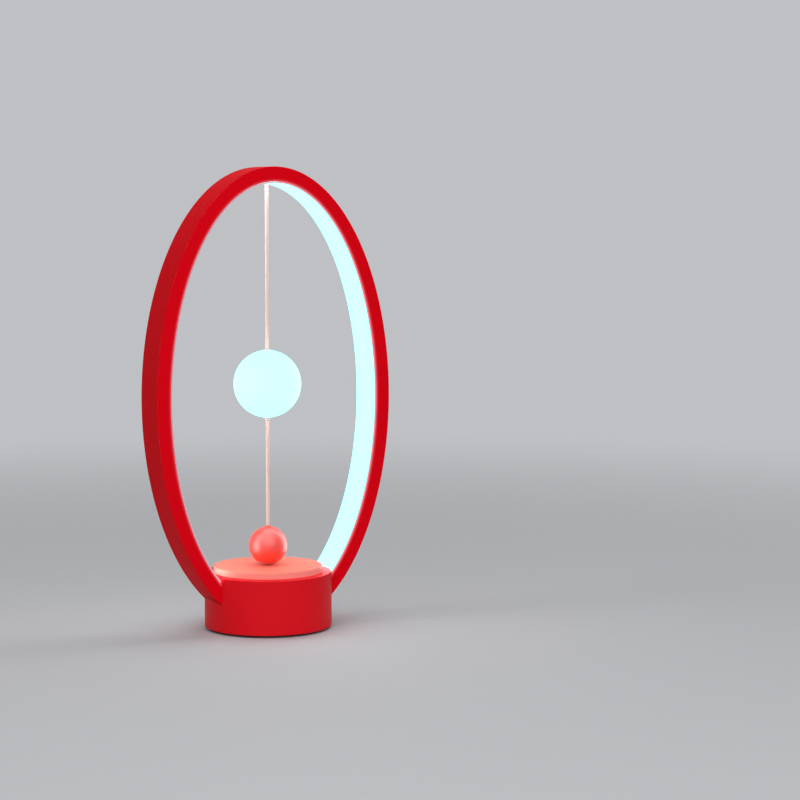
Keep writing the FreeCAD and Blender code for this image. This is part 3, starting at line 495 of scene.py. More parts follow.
@dataclass(frozen=True)
class Opal(Finish):
    """Frosted white plastic with light coming through it, which throws a whiter light than it shows."""

    colour: Colour
    light: Colour
    side_light: Colour
    strength: float
    lit_from: LitFrom
    middle: float = 0.0
    reach: float = 1.0
    roughness: float = 0.42
    specular: float = 0.06
    thrown: Colour = (1.40, 1.34, 1.34)

    def pattern(self, graph: MaterialGraph) -> dict[str, object]:
        """How the light varies: the place along and across the piece, and how much it ripples and fades.

        Args:
            graph: the material's node tree.

        Returns:
            A value or a socket for each of the lit effect's inputs that set how it varies.
        """
        if self.lit_from is LitFrom.STRIP:
            split = graph.add("ShaderNodeSeparateXYZ", {0: graph.measure})
            return {"Along": split.outputs[0], "Across": split.outputs[1],
                    "Pitch": 12 * MM, "Ripple": 0.012, "Fade": 0.08}
        split = graph.add("ShaderNodeSeparateXYZ", {0: graph.place})
        height = graph.minus(split.outputs[2], self.middle)
        return {"Along": height, "Across": graph.over(height, self.reach),
                "Pitch": self.reach * 4.0, "Ripple": 0.04, "Fade": 0.10}

    def paint(self, graph: MaterialGraph) -> None:
        """Join the light that comes through and the frosted skin.

        Args:
            graph: the material's node tree.
        """
        lights = {"Colour": rgba(self.light), "Side Colour": rgba(self.side_light)}
        glow = graph.effect(graph.effects.lit, {**lights, **self.pattern(graph)})
        skin = graph.skin(grain=0.35 * MM, ripple=14 * MM, share=0.3)
        marks = graph.marks(size=20 * MM, amount=0.1)
        seen = graph.add("ShaderNodeLightPath").outputs["Is Camera Ray"]
        graph.set(Base_Color=graph.toned(rgba(self.colour), size=30 * MM, amount=0.02),
                  Roughness=graph.plus(marks.outputs["Shift"], self.roughness),
                  Emission_Color=graph.blend(seen, rgba(self.thrown), glow.outputs[0]),
                  Emission_Strength=self.strength, Specular_IOR_Level=self.specular)
        graph.relief(skin.outputs["Height"], depth=0.012 * MM)


@dataclass(frozen=True)
class Yarn(Finish):
    """Braided polyester cord."""

    colour: Colour
    shade: Colour
    roughness: float = 0.62
    fibre_roughness: float = 0.2

    def paint(self, graph: MaterialGraph) -> None:
        """Join the fibres.

        Args:
            graph: the material's node tree.
        """
        fibre = graph.effect(graph.effects.fibre, {"UV": graph.measure, "Fibre Size": 0.09 * MM})
        colour = graph.blend(fibre.outputs["Shade"], rgba(self.shade), rgba(self.colour))
        rough = graph.plus(self.roughness, graph.times(fibre.outputs["Height"], self.fibre_roughness))
        graph.set(Base_Color=graph.toned(colour, size=6 * MM, amount=0.06), Roughness=rough,
                  Sheen_Weight=0.35, Sheen_Roughness=0.4)
        graph.relief(fibre.outputs["Height"], depth=0.03 * MM)


@dataclass(frozen=True)
class Metal(Finish):
    """Plated or drawn metal."""

    colour: Colour
    roughness: float
    lines: float = 0.3 * MM
    depth: float = 0.006 * MM

    def paint(self, graph: MaterialGraph) -> None:
        """Join the drawn lines.

        Args:
            graph: the material's node tree.
        """
        drawn = graph.effect(graph.effects.brushed, {"Vector": graph.place, "Line Size": self.lines})
        marks = graph.marks(size=8 * MM, amount=0.18)
        rough = graph.plus(graph.plus(drawn.outputs["Shift"], self.roughness), marks.outputs["Shift"])
        graph.set(Base_Color=graph.toned(rgba(self.colour), size=5 * MM, amount=0.08), Metallic=1.0,
                  Roughness=rough)
        graph.relief(drawn.outputs["Height"], depth=self.depth)


@dataclass(frozen=True)
class Board(Finish):
    """Circuit board with tracks under its lacquer."""

    colour: Colour
    track: Colour
    roughness: float = 0.32
    track_roughness: float = 0.1

    def paint(self, graph: MaterialGraph) -> None:
        """Join the tracks.

        Args:
            graph: the material's node tree.
        """
        tracks = graph.effect(graph.effects.tracks, {"Vector": graph.place}).outputs["Mask"]
        toned = graph.toned(rgba(self.colour), size=8 * MM, amount=0.06)
        graph.set(Base_Color=graph.blend(tracks, toned, rgba(self.track)),
                  Roughness=graph.plus(self.roughness, graph.times(tracks, self.track_roughness)))
        graph.relief(tracks, depth=0.03 * MM)


@dataclass(frozen=True)
class Rubber(Finish):
    """Matt black rubber with a fine leathery skin."""

    colour: Colour
    roughness: float = 0.78
    specular: float = 0.3

    def paint(self, graph: MaterialGraph) -> None:
        """Join the skin.

        Args:
            graph: the material's node tree.
        """
        skin = graph.skin(grain=0.25 * MM, ripple=2 * MM, share=0.3)
        marks = graph.marks(size=5 * MM, amount=0.15)
        graph.set(Base_Color=graph.toned(rgba(self.colour), size=3 * MM, amount=0.2),
                  Roughness=graph.plus(self.roughness, marks.outputs["Shift"]),
                  Specular_IOR_Level=self.specular)
        graph.relief(skin.outputs["Height"], depth=0.05 * MM)


GLOBE_MIDDLE = 194.35 * MM
GLOBE_RADIUS = 26.6 * MM
OPAL_BODY: Colour = (0.05, 0.20, 0.21)
GLOBE_LIGHT: Colour = (0.22, 0.80, 0.88)
CAP_LIGHT: Colour = (0.26, 0.46, 0.48)

FINISHES: dict[str, Finish] = {
    "housing_red": Moulding((0.78, 0.004, 0.012), 0.45, specular=0.12),
    "underside_red": Moulding((0.48, 0.012, 0.02), 0.6, grain=0.7 * MM, depth=0.06 * MM, specular=0.3),
    # ring_red: a painted glow on the plate faces beside the opal strip, standing in for the strip's light
    # spreading onto them
    "ring_red": Moulding((0.76, 0.001, 0.008), 0.5, grain=0.4 * MM, specular=0.02,
                         painted_edge_glow=(0.20, 0.16, 0.18)),
    # deck_coral: its own coral colour, made paler to paint in part of the strips' light on the deck, and a
    # painted glow on its side
    "deck_coral": Moulding((0.92, 0.215, 0.148), 0.5, depth=0.03 * MM, specular=0.25,
                           painted_edge_glow=(0.10, 0.075, 0.085)),
    "ball_coral": Moulding((0.94, 0.028, 0.008), 0.5, grain=0.4 * MM, depth=0.01 * MM, coat=1.0,
                           coat_roughness=0.43, coat_index=2.05, specular=0.15, sheen=0.15),
    "diffuser_opal": Opal(OPAL_BODY, (0.225, 0.80, 0.88), (0.17, 0.05, 0.07), 2.9, LitFrom.STRIP),
    "globe_opal": Opal(OPAL_BODY, GLOBE_LIGHT, GLOBE_LIGHT, 2.9, LitFrom.CORE,
                       middle=GLOBE_MIDDLE, reach=GLOBE_RADIUS),
    "cap_lit": Opal((0.26, 0.32, 0.34), CAP_LIGHT, CAP_LIGHT, 1.0, LitFrom.CORE,
                    middle=GLOBE_MIDDLE, reach=GLOBE_RADIUS),
    "cord_cream": Yarn((0.76, 0.58, 0.54), (0.71, 0.53, 0.49)),
    "cord_grip": Moulding((0.92, 0.16, 0.11), 0.45, grain=0.2 * MM, depth=0.008 * MM, specular=0.3),
    "cap_white": Moulding((0.82, 0.80, 0.78), 0.4, grain=0.3 * MM, depth=0.01 * MM, drift=0.02),
    "inner_plastic": Moulding((0.72, 0.72, 0.70), 0.5),
    "board_green": Board((0.03, 0.22, 0.09), (0.08, 0.38, 0.16)),
    "board_white": Board((0.82, 0.82, 0.80), (0.70, 0.71, 0.68)),
    "strip_white": Board((0.80, 0.80, 0.78), (0.70, 0.62, 0.42)),
    "led_lens": Moulding((0.85, 0.78, 0.40), 0.3, grain=0.2 * MM),
    "chip_black": Moulding((0.025, 0.025, 0.027), 0.55, grain=0.3 * MM, depth=0.03 * MM),
    "wire_sleeve": Moulding((0.60, 0.06, 0.05), 0.42, grain=0.3 * MM),
    "screw_steel": Metal((0.58, 0.58, 0.60), 0.32),
    "bracket_steel": Metal((0.60, 0.61, 0.63), 0.35, lines=0.4 * MM),
    "ballast_steel": Metal((0.34, 0.35, 0.37), 0.48, lines=0.5 * MM),
    "magnet_nickel": Metal((0.66, 0.64, 0.60), 0.18, depth=0.002 * MM),
    "port_steel": Metal((0.66, 0.66, 0.68), 0.25, lines=0.15 * MM),
    "foot_rubber": Rubber((0.035, 0.035, 0.037)),
    "contact_gold": Metal((0.80, 0.56, 0.22), 0.2, lines=0.1 * MM, depth=0.001 * MM),
}


class Palette:
    """The lamp's materials, each made the first time that it is asked for."""

    def __init__(self) -> None:
        """Start with the shared effects and no materials."""
        self.effects = Effects()
        self.made: dict[str, Material] = {}

    def __getitem__(self, slot: str) -> Material:
        """The material of a slot.

        Args:
            slot: the finish's name.

        Returns:
            The material.
        """
        if slot not in self.made:
            self.made[slot] = FINISHES[slot].material(slot, self.effects)
        return self.made[slot]


class Maker(Protocol):
    """Anything that builds pieces of the lamp."""

    def build(self, palette: Palette) -> list[Object]:
        """Build the pieces and return them."""


# ------------------------------------------------------------------ meshes


@dataclass(frozen=True)
class Corner:
    """A corner of a section: how far across and along it is, and how far it is rounded."""

    across: float
    along: float
    rounding: float = 0.0


@dataclass(frozen=True)
class Spot:
    """A point of a section, how much handling reaches it, and how strongly a painted glow lies on it."""

    across: float
    along: float
    wear: float = 0.0
    # lit: how strongly a painted glow lies on the spot, an emission that stands in for the opal strip's
    # light
    lit: float = 0.0


def rounded(corners: Sequence[Corner], closed: bool = True, steps: int = 6) -> list[Spot]:
    """Round a section's corners.

    Args:
        corners: the corners in order.
        closed: whether the last corner joins the first.
        steps: how many parts each rounding has.

    Returns:
        The section's points in order. A rounding has a point just before and after it, which keeps the
        flats beside it flat.
    """
    spots: list[Spot] = []
    places = [Vector((corner.across, corner.along)) for corner in corners]
    for number, (corner, here) in enumerate(zip(corners, places)):
        if corner.rounding <= 0 or (not closed and number in (0, len(corners) - 1)):
            spots.append(Spot(*here))
            continue
        back = (places[number - 1] - here).normalized()
        ahead = (places[(number + 1) % len(corners)] - here).normalized()
        half = back.angle(ahead) / 2
        reach = corner.rounding / math.tan(half)
        entry = here + back * reach
        middle = here + (back + ahead).normalized() * (corner.rounding / math.sin(half))
        sweep = math.copysign(math.pi - 2 * half, (-back).cross(ahead))
        support = corner.rounding * SUPPORT_SHARE
        spots.append(Spot(*(entry + back * support)))
        for share in (step / steps for step in range(steps + 1)):
            turn = Matrix.Rotation(sweep * share, 2)
            spots.append(Spot(*(middle + turn @ (entry - middle)), math.sin(math.pi * share) ** 0.5))
        spots.append(Spot(*(here + ahead * (reach + support))))
    return spots


def arc(radius: float, middle: float, start: float, end: float, steps: int) -> list[Corner]:
    """Points of a circle about the axis point at height middle, from one angle above level to another."""
    turns = [start + (end - start) * step / steps for step in range(steps + 1)]
    return [Corner(radius * math.cos(turn), middle + radius * math.sin(turn)) for turn in turns]


def measured(points: Sequence[Vector]) -> list[float]:
    """How far along a closed line of points each point is, with the line's whole length last.

    Args:
        points: the points in order.

    Returns:
        A length for each point, and one more.
    """
    lengths = [0.0]
    for here, there in zip(points, [*points[1:], points[0]]):
        lengths.append(lengths[-1] + (there - here).length)
    return lengths


def placed(name: str, data: bpy.types.ID) -> Object:
    """Put an object with this data in the scene.

    Args:
        name: the object's name.
        data: what the object holds.

    Returns:
        The object.
    """
    thing = bpy.data.objects.new(name, data)
    bpy.context.scene.collection.objects.link(thing)
    return thing


def evaluated(thing: Object) -> Mesh:
    """A plain mesh of an object as its modifiers leave it."""
    bpy.context.view_layer.update()
    return bpy.data.meshes.new_from_object(thing.evaluated_get(bpy.context.evaluated_depsgraph_get()))


def shaded(mesh: Mesh, material: Material, sharp: float = SHARP_ANGLE) -> Mesh:
    """Give a mesh one material and smooth faces, with the edges past an angle in degrees sharp.

    Args:
        mesh: the mesh.
        material: its material.
        sharp: the angle in degrees past which an edge is sharp.

    Returns:
        The same mesh.
    """
    mesh.materials.clear()
    mesh.materials.append(material)
    mesh.polygons.foreach_set("material_index", [0] * len(mesh.polygons))
    mesh.shade_smooth()
    mesh.set_sharp_from_angle(angle=math.radians(sharp))
    return mesh


def stand(name: str, mesh: Mesh, material: Material) -> Object:
    """Put a mesh in the scene with its material and its shading."""
    mesh.name = name
    return placed(name, shaded(mesh, material))


def lay_measure(piece: Object, measure: Callable[[Vector], tuple[float, float]]) -> None:
    """Give a piece's UV the measure along and across that a point of it has.

    Args:
        piece: the piece.
        measure: gives a point's measure along and across.
    """
    mesh = piece.data
    layer = mesh.uv_layers.get(MEASURE) or mesh.uv_layers.new(name=MEASURE)
    for loop in mesh.loops:
        layer.data[loop.index].uv = measure(mesh.vertices[loop.vertex_index].co)


@dataclass
class Skin:
    """A surface through rows of points, one in each row for each spot of the section."""

    rows: list[list[Vector]]
    spots: Sequence[Spot] = ()
    round_rows: bool = False
    round_points: bool = True
    capped: bool = False

    def piece(self, name: str, material: Material) -> Object:
        """Make the surface an object.

        Args:
            name: the object's name.
            material: its material.

        Returns:
            The object, with its measure along and across as UV, and its spots' marks as attributes.
        """
        form = bmesh.new()
        uv = form.loops.layers.uv.new(MEASURE)
        worn, lit = form.verts.layers.float.new("wear"), form.verts.layers.float.new("lit")
        grid = [[form.verts.new(point) for point in row] for row in self.rows]
        for row in grid:
            for vertex, spot in zip(row, self.spots):
                vertex[worn], vertex[lit] = spot.wear, spot.lit
        row_count, point_count = len(grid), len(grid[0])
        probe = max(range(point_count), key=lambda place: (self.rows[0][place] - self.rows[1][place]).length)
        along, across = measured([row[probe] for row in self.rows]), measured(self.rows[0])
        for row in range(row_count if self.round_rows else row_count - 1):
            for point in range(point_count if self.round_points else point_count - 1):
                places = ((row, point), (row + 1, point), (row + 1, point + 1), (row, point + 1))
                face = form.faces.new([grid[line % row_count][spot % point_count] for line, spot in places])
                for loop, (line, spot) in zip(face.loops, places):
                    loop[uv].uv = (along[line], across[spot])
        if self.capped:
            form.faces.new(list(reversed(grid[0])))
            form.faces.new(grid[-1])
        bmesh.ops.remove_doubles(form, verts=form.verts, dist=MERGE_DISTANCE)
        bmesh.ops.recalc_face_normals(form, faces=form.faces)
        mesh = bpy.data.meshes.new(name)
        form.to_mesh(mesh)
        form.free()
        return stand(name, mesh, material)


def turned(name: str, spots: Sequence[Spot], material: Material, segments: int = 160,
           hollow: bool = False) -> Object:
    """Turn a section about the upright axis.

    Args:
        name: the object's name.
        spots: the section as radii and heights. A solid's section starts and ends on the axis.
        material: its material.
        segments: how many parts the turn has.
        hollow: whether the section is a closed loop away from the axis.

    Returns:
        The turned object.
    """
    rows = []
    for turn in (math.tau * number / segments for number in range(segments)):
        rows.append([Vector((spot.across * math.cos(turn), spot.across * math.sin(turn), spot.along))
                     for spot in spots])
    return Skin(rows, spots, round_rows=True, round_points=hollow).piece(name, material)


def carve(piece: Object, cutters: Sequence[Object], sharp: float = SHARP_ANGLE) -> None:
    """Cut shapes out of a piece and remove the shapes.

    Args:
        piece: the piece.
        cutters: the shapes.
        sharp: the angle in degrees past which an edge is sharp.
    """
    for cutter in cutters:
        step = piece.modifiers.new("cut", "BOOLEAN")
        step.operation, step.solver, step.object = "DIFFERENCE", "EXACT", cutter
    mesh = evaluated(piece)
    piece.modifiers.clear()
    piece.data = shaded(mesh, piece.data.materials[0], sharp)
    for cutter in cutters:
        bpy.data.objects.remove(cutter)


def declared(piece: Object, node: str, body: str) -> Object:
    """Hide the node that a piece takes the place of, and hang the piece on the body that it moves with.

    Args:
        piece: the piece.
        node: the node that it takes the place of.
        body: the body that it moves with.

    Returns:
        The piece.
    """
    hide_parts(node)
    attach(piece, body)
    return piece


class Recipe:
    """A geometry-node tree with named inputs, which is run once to give a plain mesh."""

    def __init__(self, name: str) -> None:
        """Start a tree whose last steps realize what it made and give it its material.

        Args:
            name: the tree's name.
        """
        self.tree = bpy.data.node_groups.new(name, "GeometryNodeTree")
        self.tree.interface.new_socket("Geometry", in_out="OUTPUT", socket_type="NodeSocketGeometry")
        self.graph = Graph(self.tree)
        self.start = self.graph.add("NodeGroupInput")
        self.keys: dict[str, str] = {}

    def entries(self, **kinds: str) -> list[Socket]:
        """Add an input of a kind for each name.

        Args:
            kinds: a kind of socket for each name. An underscore stands for a space.

        Returns:
            The inputs' sockets in the same order.
        """
        for key, kind in kinds.items():
            item = self.tree.interface.new_socket(
                key.replace("_", " "), in_out="INPUT", socket_type=f"NodeSocket{kind}")
            self.keys[key] = item.identifier
        return [self.start.outputs[key.replace("_", " ")] for key in kinds]

    def ends_in(self, geometry: Socket) -> None:
        """Close the tree on this geometry.

        Args:
            geometry: what the tree has made.
        """
        [finish] = self.entries(Finish="Material")
        whole = self.graph.add("GeometryNodeRealizeInstances", {0: geometry})
        painted = self.graph.add(
            "GeometryNodeSetMaterial", {"Geometry": whole.outputs[0], "Material": finish})
        self.graph.add("NodeGroupOutput", {0: painted.outputs[0]})

    def run(self, name: str, material: Material, **values: object) -> Object:
        """Run the tree.

        Args:
            name: the new piece's name.
            material: its material.
            values: a value for each input. An underscore stands for a space.

        Returns:
            A piece with a plain mesh.
        """
        host = placed(f"{name}_host", bpy.data.meshes.new(f"{name}_host"))
        step = host.modifiers.new(self.tree.name, "NODES")
        step.node_group = self.tree
        for key, value in {**values, "Finish": material}.items():
            step[self.keys[key]] = value
        mesh = evaluated(host)
        bpy.data.objects.remove(host)
        return stand(name, mesh, material)


def ring_of_parts(name: str) -> Recipe:
    """A recipe that sets a part at equal turns on a circle and leaves the last of each few places free.

    Args:
        name: the tree's name.

    Returns:
        The recipe.
    """
    recipe = Recipe(name)
    graph = recipe.graph
    part, count, radius, first, free = recipe.entries(
        Part="Object", Places="Int", Circle_Radius="Float", First_Turn="Float", Free_Every="Int")
    circle = graph.add("GeometryNodeMeshCircle", {"Vertices": count, "Radius": radius}).outputs[0]
    start = graph.add("ShaderNodeCombineXYZ", {2: first}).outputs[0]
    laid = graph.add("GeometryNodeTransform", {"Geometry": circle, "Rotation": start}).outputs[0]
    place = graph.maths("MODULO", graph.add("GeometryNodeInputIndex").outputs[0], free)
    kept = graph.add("FunctionNodeCompare", {0: place, 1: graph.minus(free, 1.0)}, operation="LESS_THAN")
    turns = graph.add("FunctionNodeRandomValue", {"Seed": TURN_SEED}, data_type="FLOAT_VECTOR")
    turns.inputs[0].default_value, turns.inputs[1].default_value = (0, 0, 0), (0, 0, math.pi)
    template = graph.add("GeometryNodeObjectInfo", {"Object": part}).outputs["Geometry"]
    recipe.ends_in(graph.add("GeometryNodeInstanceOnPoints", {
        "Points": laid, "Selection": kept.outputs[0], "Instance": template,
        "Rotation": turns.outputs[0]}).outputs[0])
    return recipe


# ------------------------------------------------------------------ ring


@dataclass
class OvalRing:
    """The upright oval: a channel open to the front, its front cover, and the opal strip inside it."""

    half_width: float = 100 * MM
    half_height: float = 181.5 * MM
    middle: float = 183.5 * MM
    face: float = 11.7 * MM
    half_depth: float = 16.5 * MM
    plate: float = 2.2 * MM
    wall: float = 2.0 * MM
    rounding: float = 0.55 * MM
    seam: float = 0.14 * MM
    fit: float = 0.1 * MM
    lip: float = 2.0 * MM
    lip_width: float = 1.2 * MM
    leg_end: float = 36 * MM
    steps: int = 300
    opal_half: float = 16.2 * MM
    opal_front: float = 12.8 * MM
    opal_rounding: float = 0.5 * MM
    opal_body: float = 1.1 * MM
    opal_rib: float = 3.2 * MM
    rib_width: float = 1.2 * MM
    base_radius: float = 50.8 * MM
    base_top: float = 45.3 * MM
    socket_hole: float = 2.72 * MM
    hole_reach: float = 8 * MM
    # painted_glow_reach: how far the painted glow on the plates reaches in from the edge beside the opal
    # strip; the extra corner at this reach in the channel and cover sections holds the glow's fade
    painted_glow_reach: float = 3.0 * MM

    def place(self, inset: float, depth: float, turn: float) -> Vector:
        """A point of the oval drawn in by an inset."""
        return Vector(((self.half_width - inset) * math.cos(turn), depth,
                       self.middle + (self.half_height - inset) * math.sin(turn)))

    def sweep(self, spots: Sequence[Spot], end: Callable[[float, float], float]) -> Skin:
        """Carry a section round the oval from the right leg over the top to the left leg.

        Args:
            spots: the section as insets and depths.
            end: how far from the middle each point of the section ends.

        Returns:
            The swept surface.
        """
        starts = [-math.acos(end(spot.across, spot.along) / (self.half_width - spot.across))
                  for spot in spots]
        rows = [[self.place(spot.across, spot.along, start + (math.pi - 2 * start) * step / self.steps)
                 for spot, start in zip(spots, starts)]
                for step in range(self.steps + 1)]
        return Skin(rows, spots, capped=True)

    def at_leg(self, _inset: float, _depth: float) -> float:
        """Where the legs end inside the base."""
        return self.leg_end

    def at_base(self, inset: float, depth: float) -> float:
        """Where the opal strip meets the base's wall or the plane of its rim.

        Args:
            inset: how far the point is drawn in.
            depth: how far back it is.

        Returns:
            How far from the middle it ends.
        """
        wall = math.sqrt(self.base_radius ** 2 - depth ** 2)
        drop = (self.middle - self.base_top) / (self.half_height - inset)
        return min(wall, (self.half_width - inset) * math.sqrt(1 - drop * drop))

    def paint_glow_near_strip(self, spots: Sequence[Spot]) -> list[Spot]:
        """Mark how strongly a painted glow lies on each spot of a plate, fading over a short reach from its
        edge beside the opal strip.
        """
        return [replace(spot, lit=max(0.0, 1 - (self.face - spot.across) / self.painted_glow_reach)) for spot in spots]

    def channel(self) -> list[Spot]:
        """The section of the rear plate and the outer wall.

        Returns:
            The section's points in order.
        """
        back, inner, front = self.half_depth, self.half_depth - self.plate, self.plate - self.half_depth
        return self.paint_glow_near_strip(rounded([
            Corner(0, front, self.seam), Corner(0, back, self.rounding),
            Corner(self.face - self.painted_glow_reach, back), Corner(self.face, back, 0.35 * MM),
            Corner(self.face, inner), Corner(self.wall, inner, 0.4 * MM), Corner(self.wall, front),
        ]))

    def cover(self) -> list[Spot]:
        """The section of the front plate and the lip behind it.

        Returns:
            The section's points in order.
        """
        front, back = -self.half_depth, self.plate - self.half_depth
        lip, near = back + self.lip, self.wall + self.fit
        far = near + self.lip_width
        return self.paint_glow_near_strip(rounded([
            Corner(self.face, front, 0.4 * MM), Corner(self.face - self.painted_glow_reach, front),
            Corner(0, front, self.rounding), Corner(0, back, self.seam), Corner(near, back),
            Corner(near, lip), Corner(far, lip), Corner(far, back), Corner(self.face, back),
        ]))

    def strip(self) -> list[Spot]:
        """The section of the opal strip, proud of both plates, with its ribs between them.

        Returns:
            The section's points in order.
        """
        flange, body, rib = self.face + self.fit, self.face - self.opal_body, self.face - self.opal_rib
        wide, narrow = self.opal_half, self.half_depth - self.plate - self.fit
        groove = narrow - self.rib_width
        half = [Corner(self.opal_front, wide, self.opal_rounding), Corner(flange, wide, 0.15 * MM),
                Corner(flange, narrow), Corner(rib, narrow), Corner(rib, groove), Corner(body, groove)]
        other = [replace(corner, along=-corner.along) for corner in reversed(half)]
        return rounded([other[-1], *half, *other[:-1]])

    def hole(self, material: Material) -> Object:
        """The room that the hanger takes in the strip's top, as a shape to cut with.

        Args:
            material: the shape's material.

        Returns:
            The shape.
        """
        top = self.middle + self.half_height - self.opal_front
        high, low = top + self.hole_reach, top - self.hole_reach
        section = [Spot(0, high), Spot(self.socket_hole, high), Spot(self.socket_hole, low), Spot(0, low)]
        return turned("opal_hole", section, material, segments=48)

    def strip_measure(self) -> Callable[[Vector], tuple[float, float]]:
        """How far along the oval a point of the strip is, and where between the plates, from -1 to 1.

        Returns:
            A function from a point to its measure.
        """
        lengths = measured([self.place(self.opal_front, 0, math.tau * number / MEASURE_PARTS)
                            for number in range(MEASURE_PARTS)])

        def measure(point: Vector) -> tuple[float, float]:
            """The measure of one point.

            Args:
                point: the point.

            Returns:
                The measure along and across.
            """
            turn = math.atan2((point.z - self.middle) / (self.half_height - self.opal_front),
                              point.x / (self.half_width - self.opal_front)) % math.tau
            share = turn / math.tau * MEASURE_PARTS
            low = int(share) % MEASURE_PARTS
            length = lengths[low] + (lengths[low + 1] - lengths[low]) * (share - int(share))
            return length, point.y / self.opal_half

        return measure

    def build(self, palette: Palette) -> list[Object]:
        """Build the ring's pieces, all of which stand still.

        Args:
            palette: the materials.

        Returns:
            The pieces.
        """
        red, white = palette["ring_red"], palette["diffuser_opal"]
        back = self.sweep(self.channel(), self.at_leg).piece("ring_back", red)
        face = self.sweep(self.cover(), self.at_leg).piece("ring_face", red)
        opal = self.sweep(self.strip(), self.at_base).piece("ring_opal", white)
        carve(opal, [self.hole(white)])
        lay_measure(opal, self.strip_measure())
        return [declared(back, "ring_channel", "stand"),
                declared(face, "ring_front_cover", "stand"),
                declared(opal, "diffuser", "stand")]

    def window(self, gap: float, material: Material) -> Object:
        """The room that the legs take in the base's wall, as a shape to cut with.

        Args:
            gap: the room left round the legs.
            material: the shape's material.

        Returns:
            The shape.
        """
        deep, far = self.half_depth + gap, self.face + gap
        corners = [Spot(-gap, -deep), Spot(-gap, deep), Spot(far, deep), Spot(far, -deep)]
        return self.sweep(corners, lambda _inset, _depth: self.leg_end - gap).piece("leg_window", material)


# ------------------------------------------------------------------ base


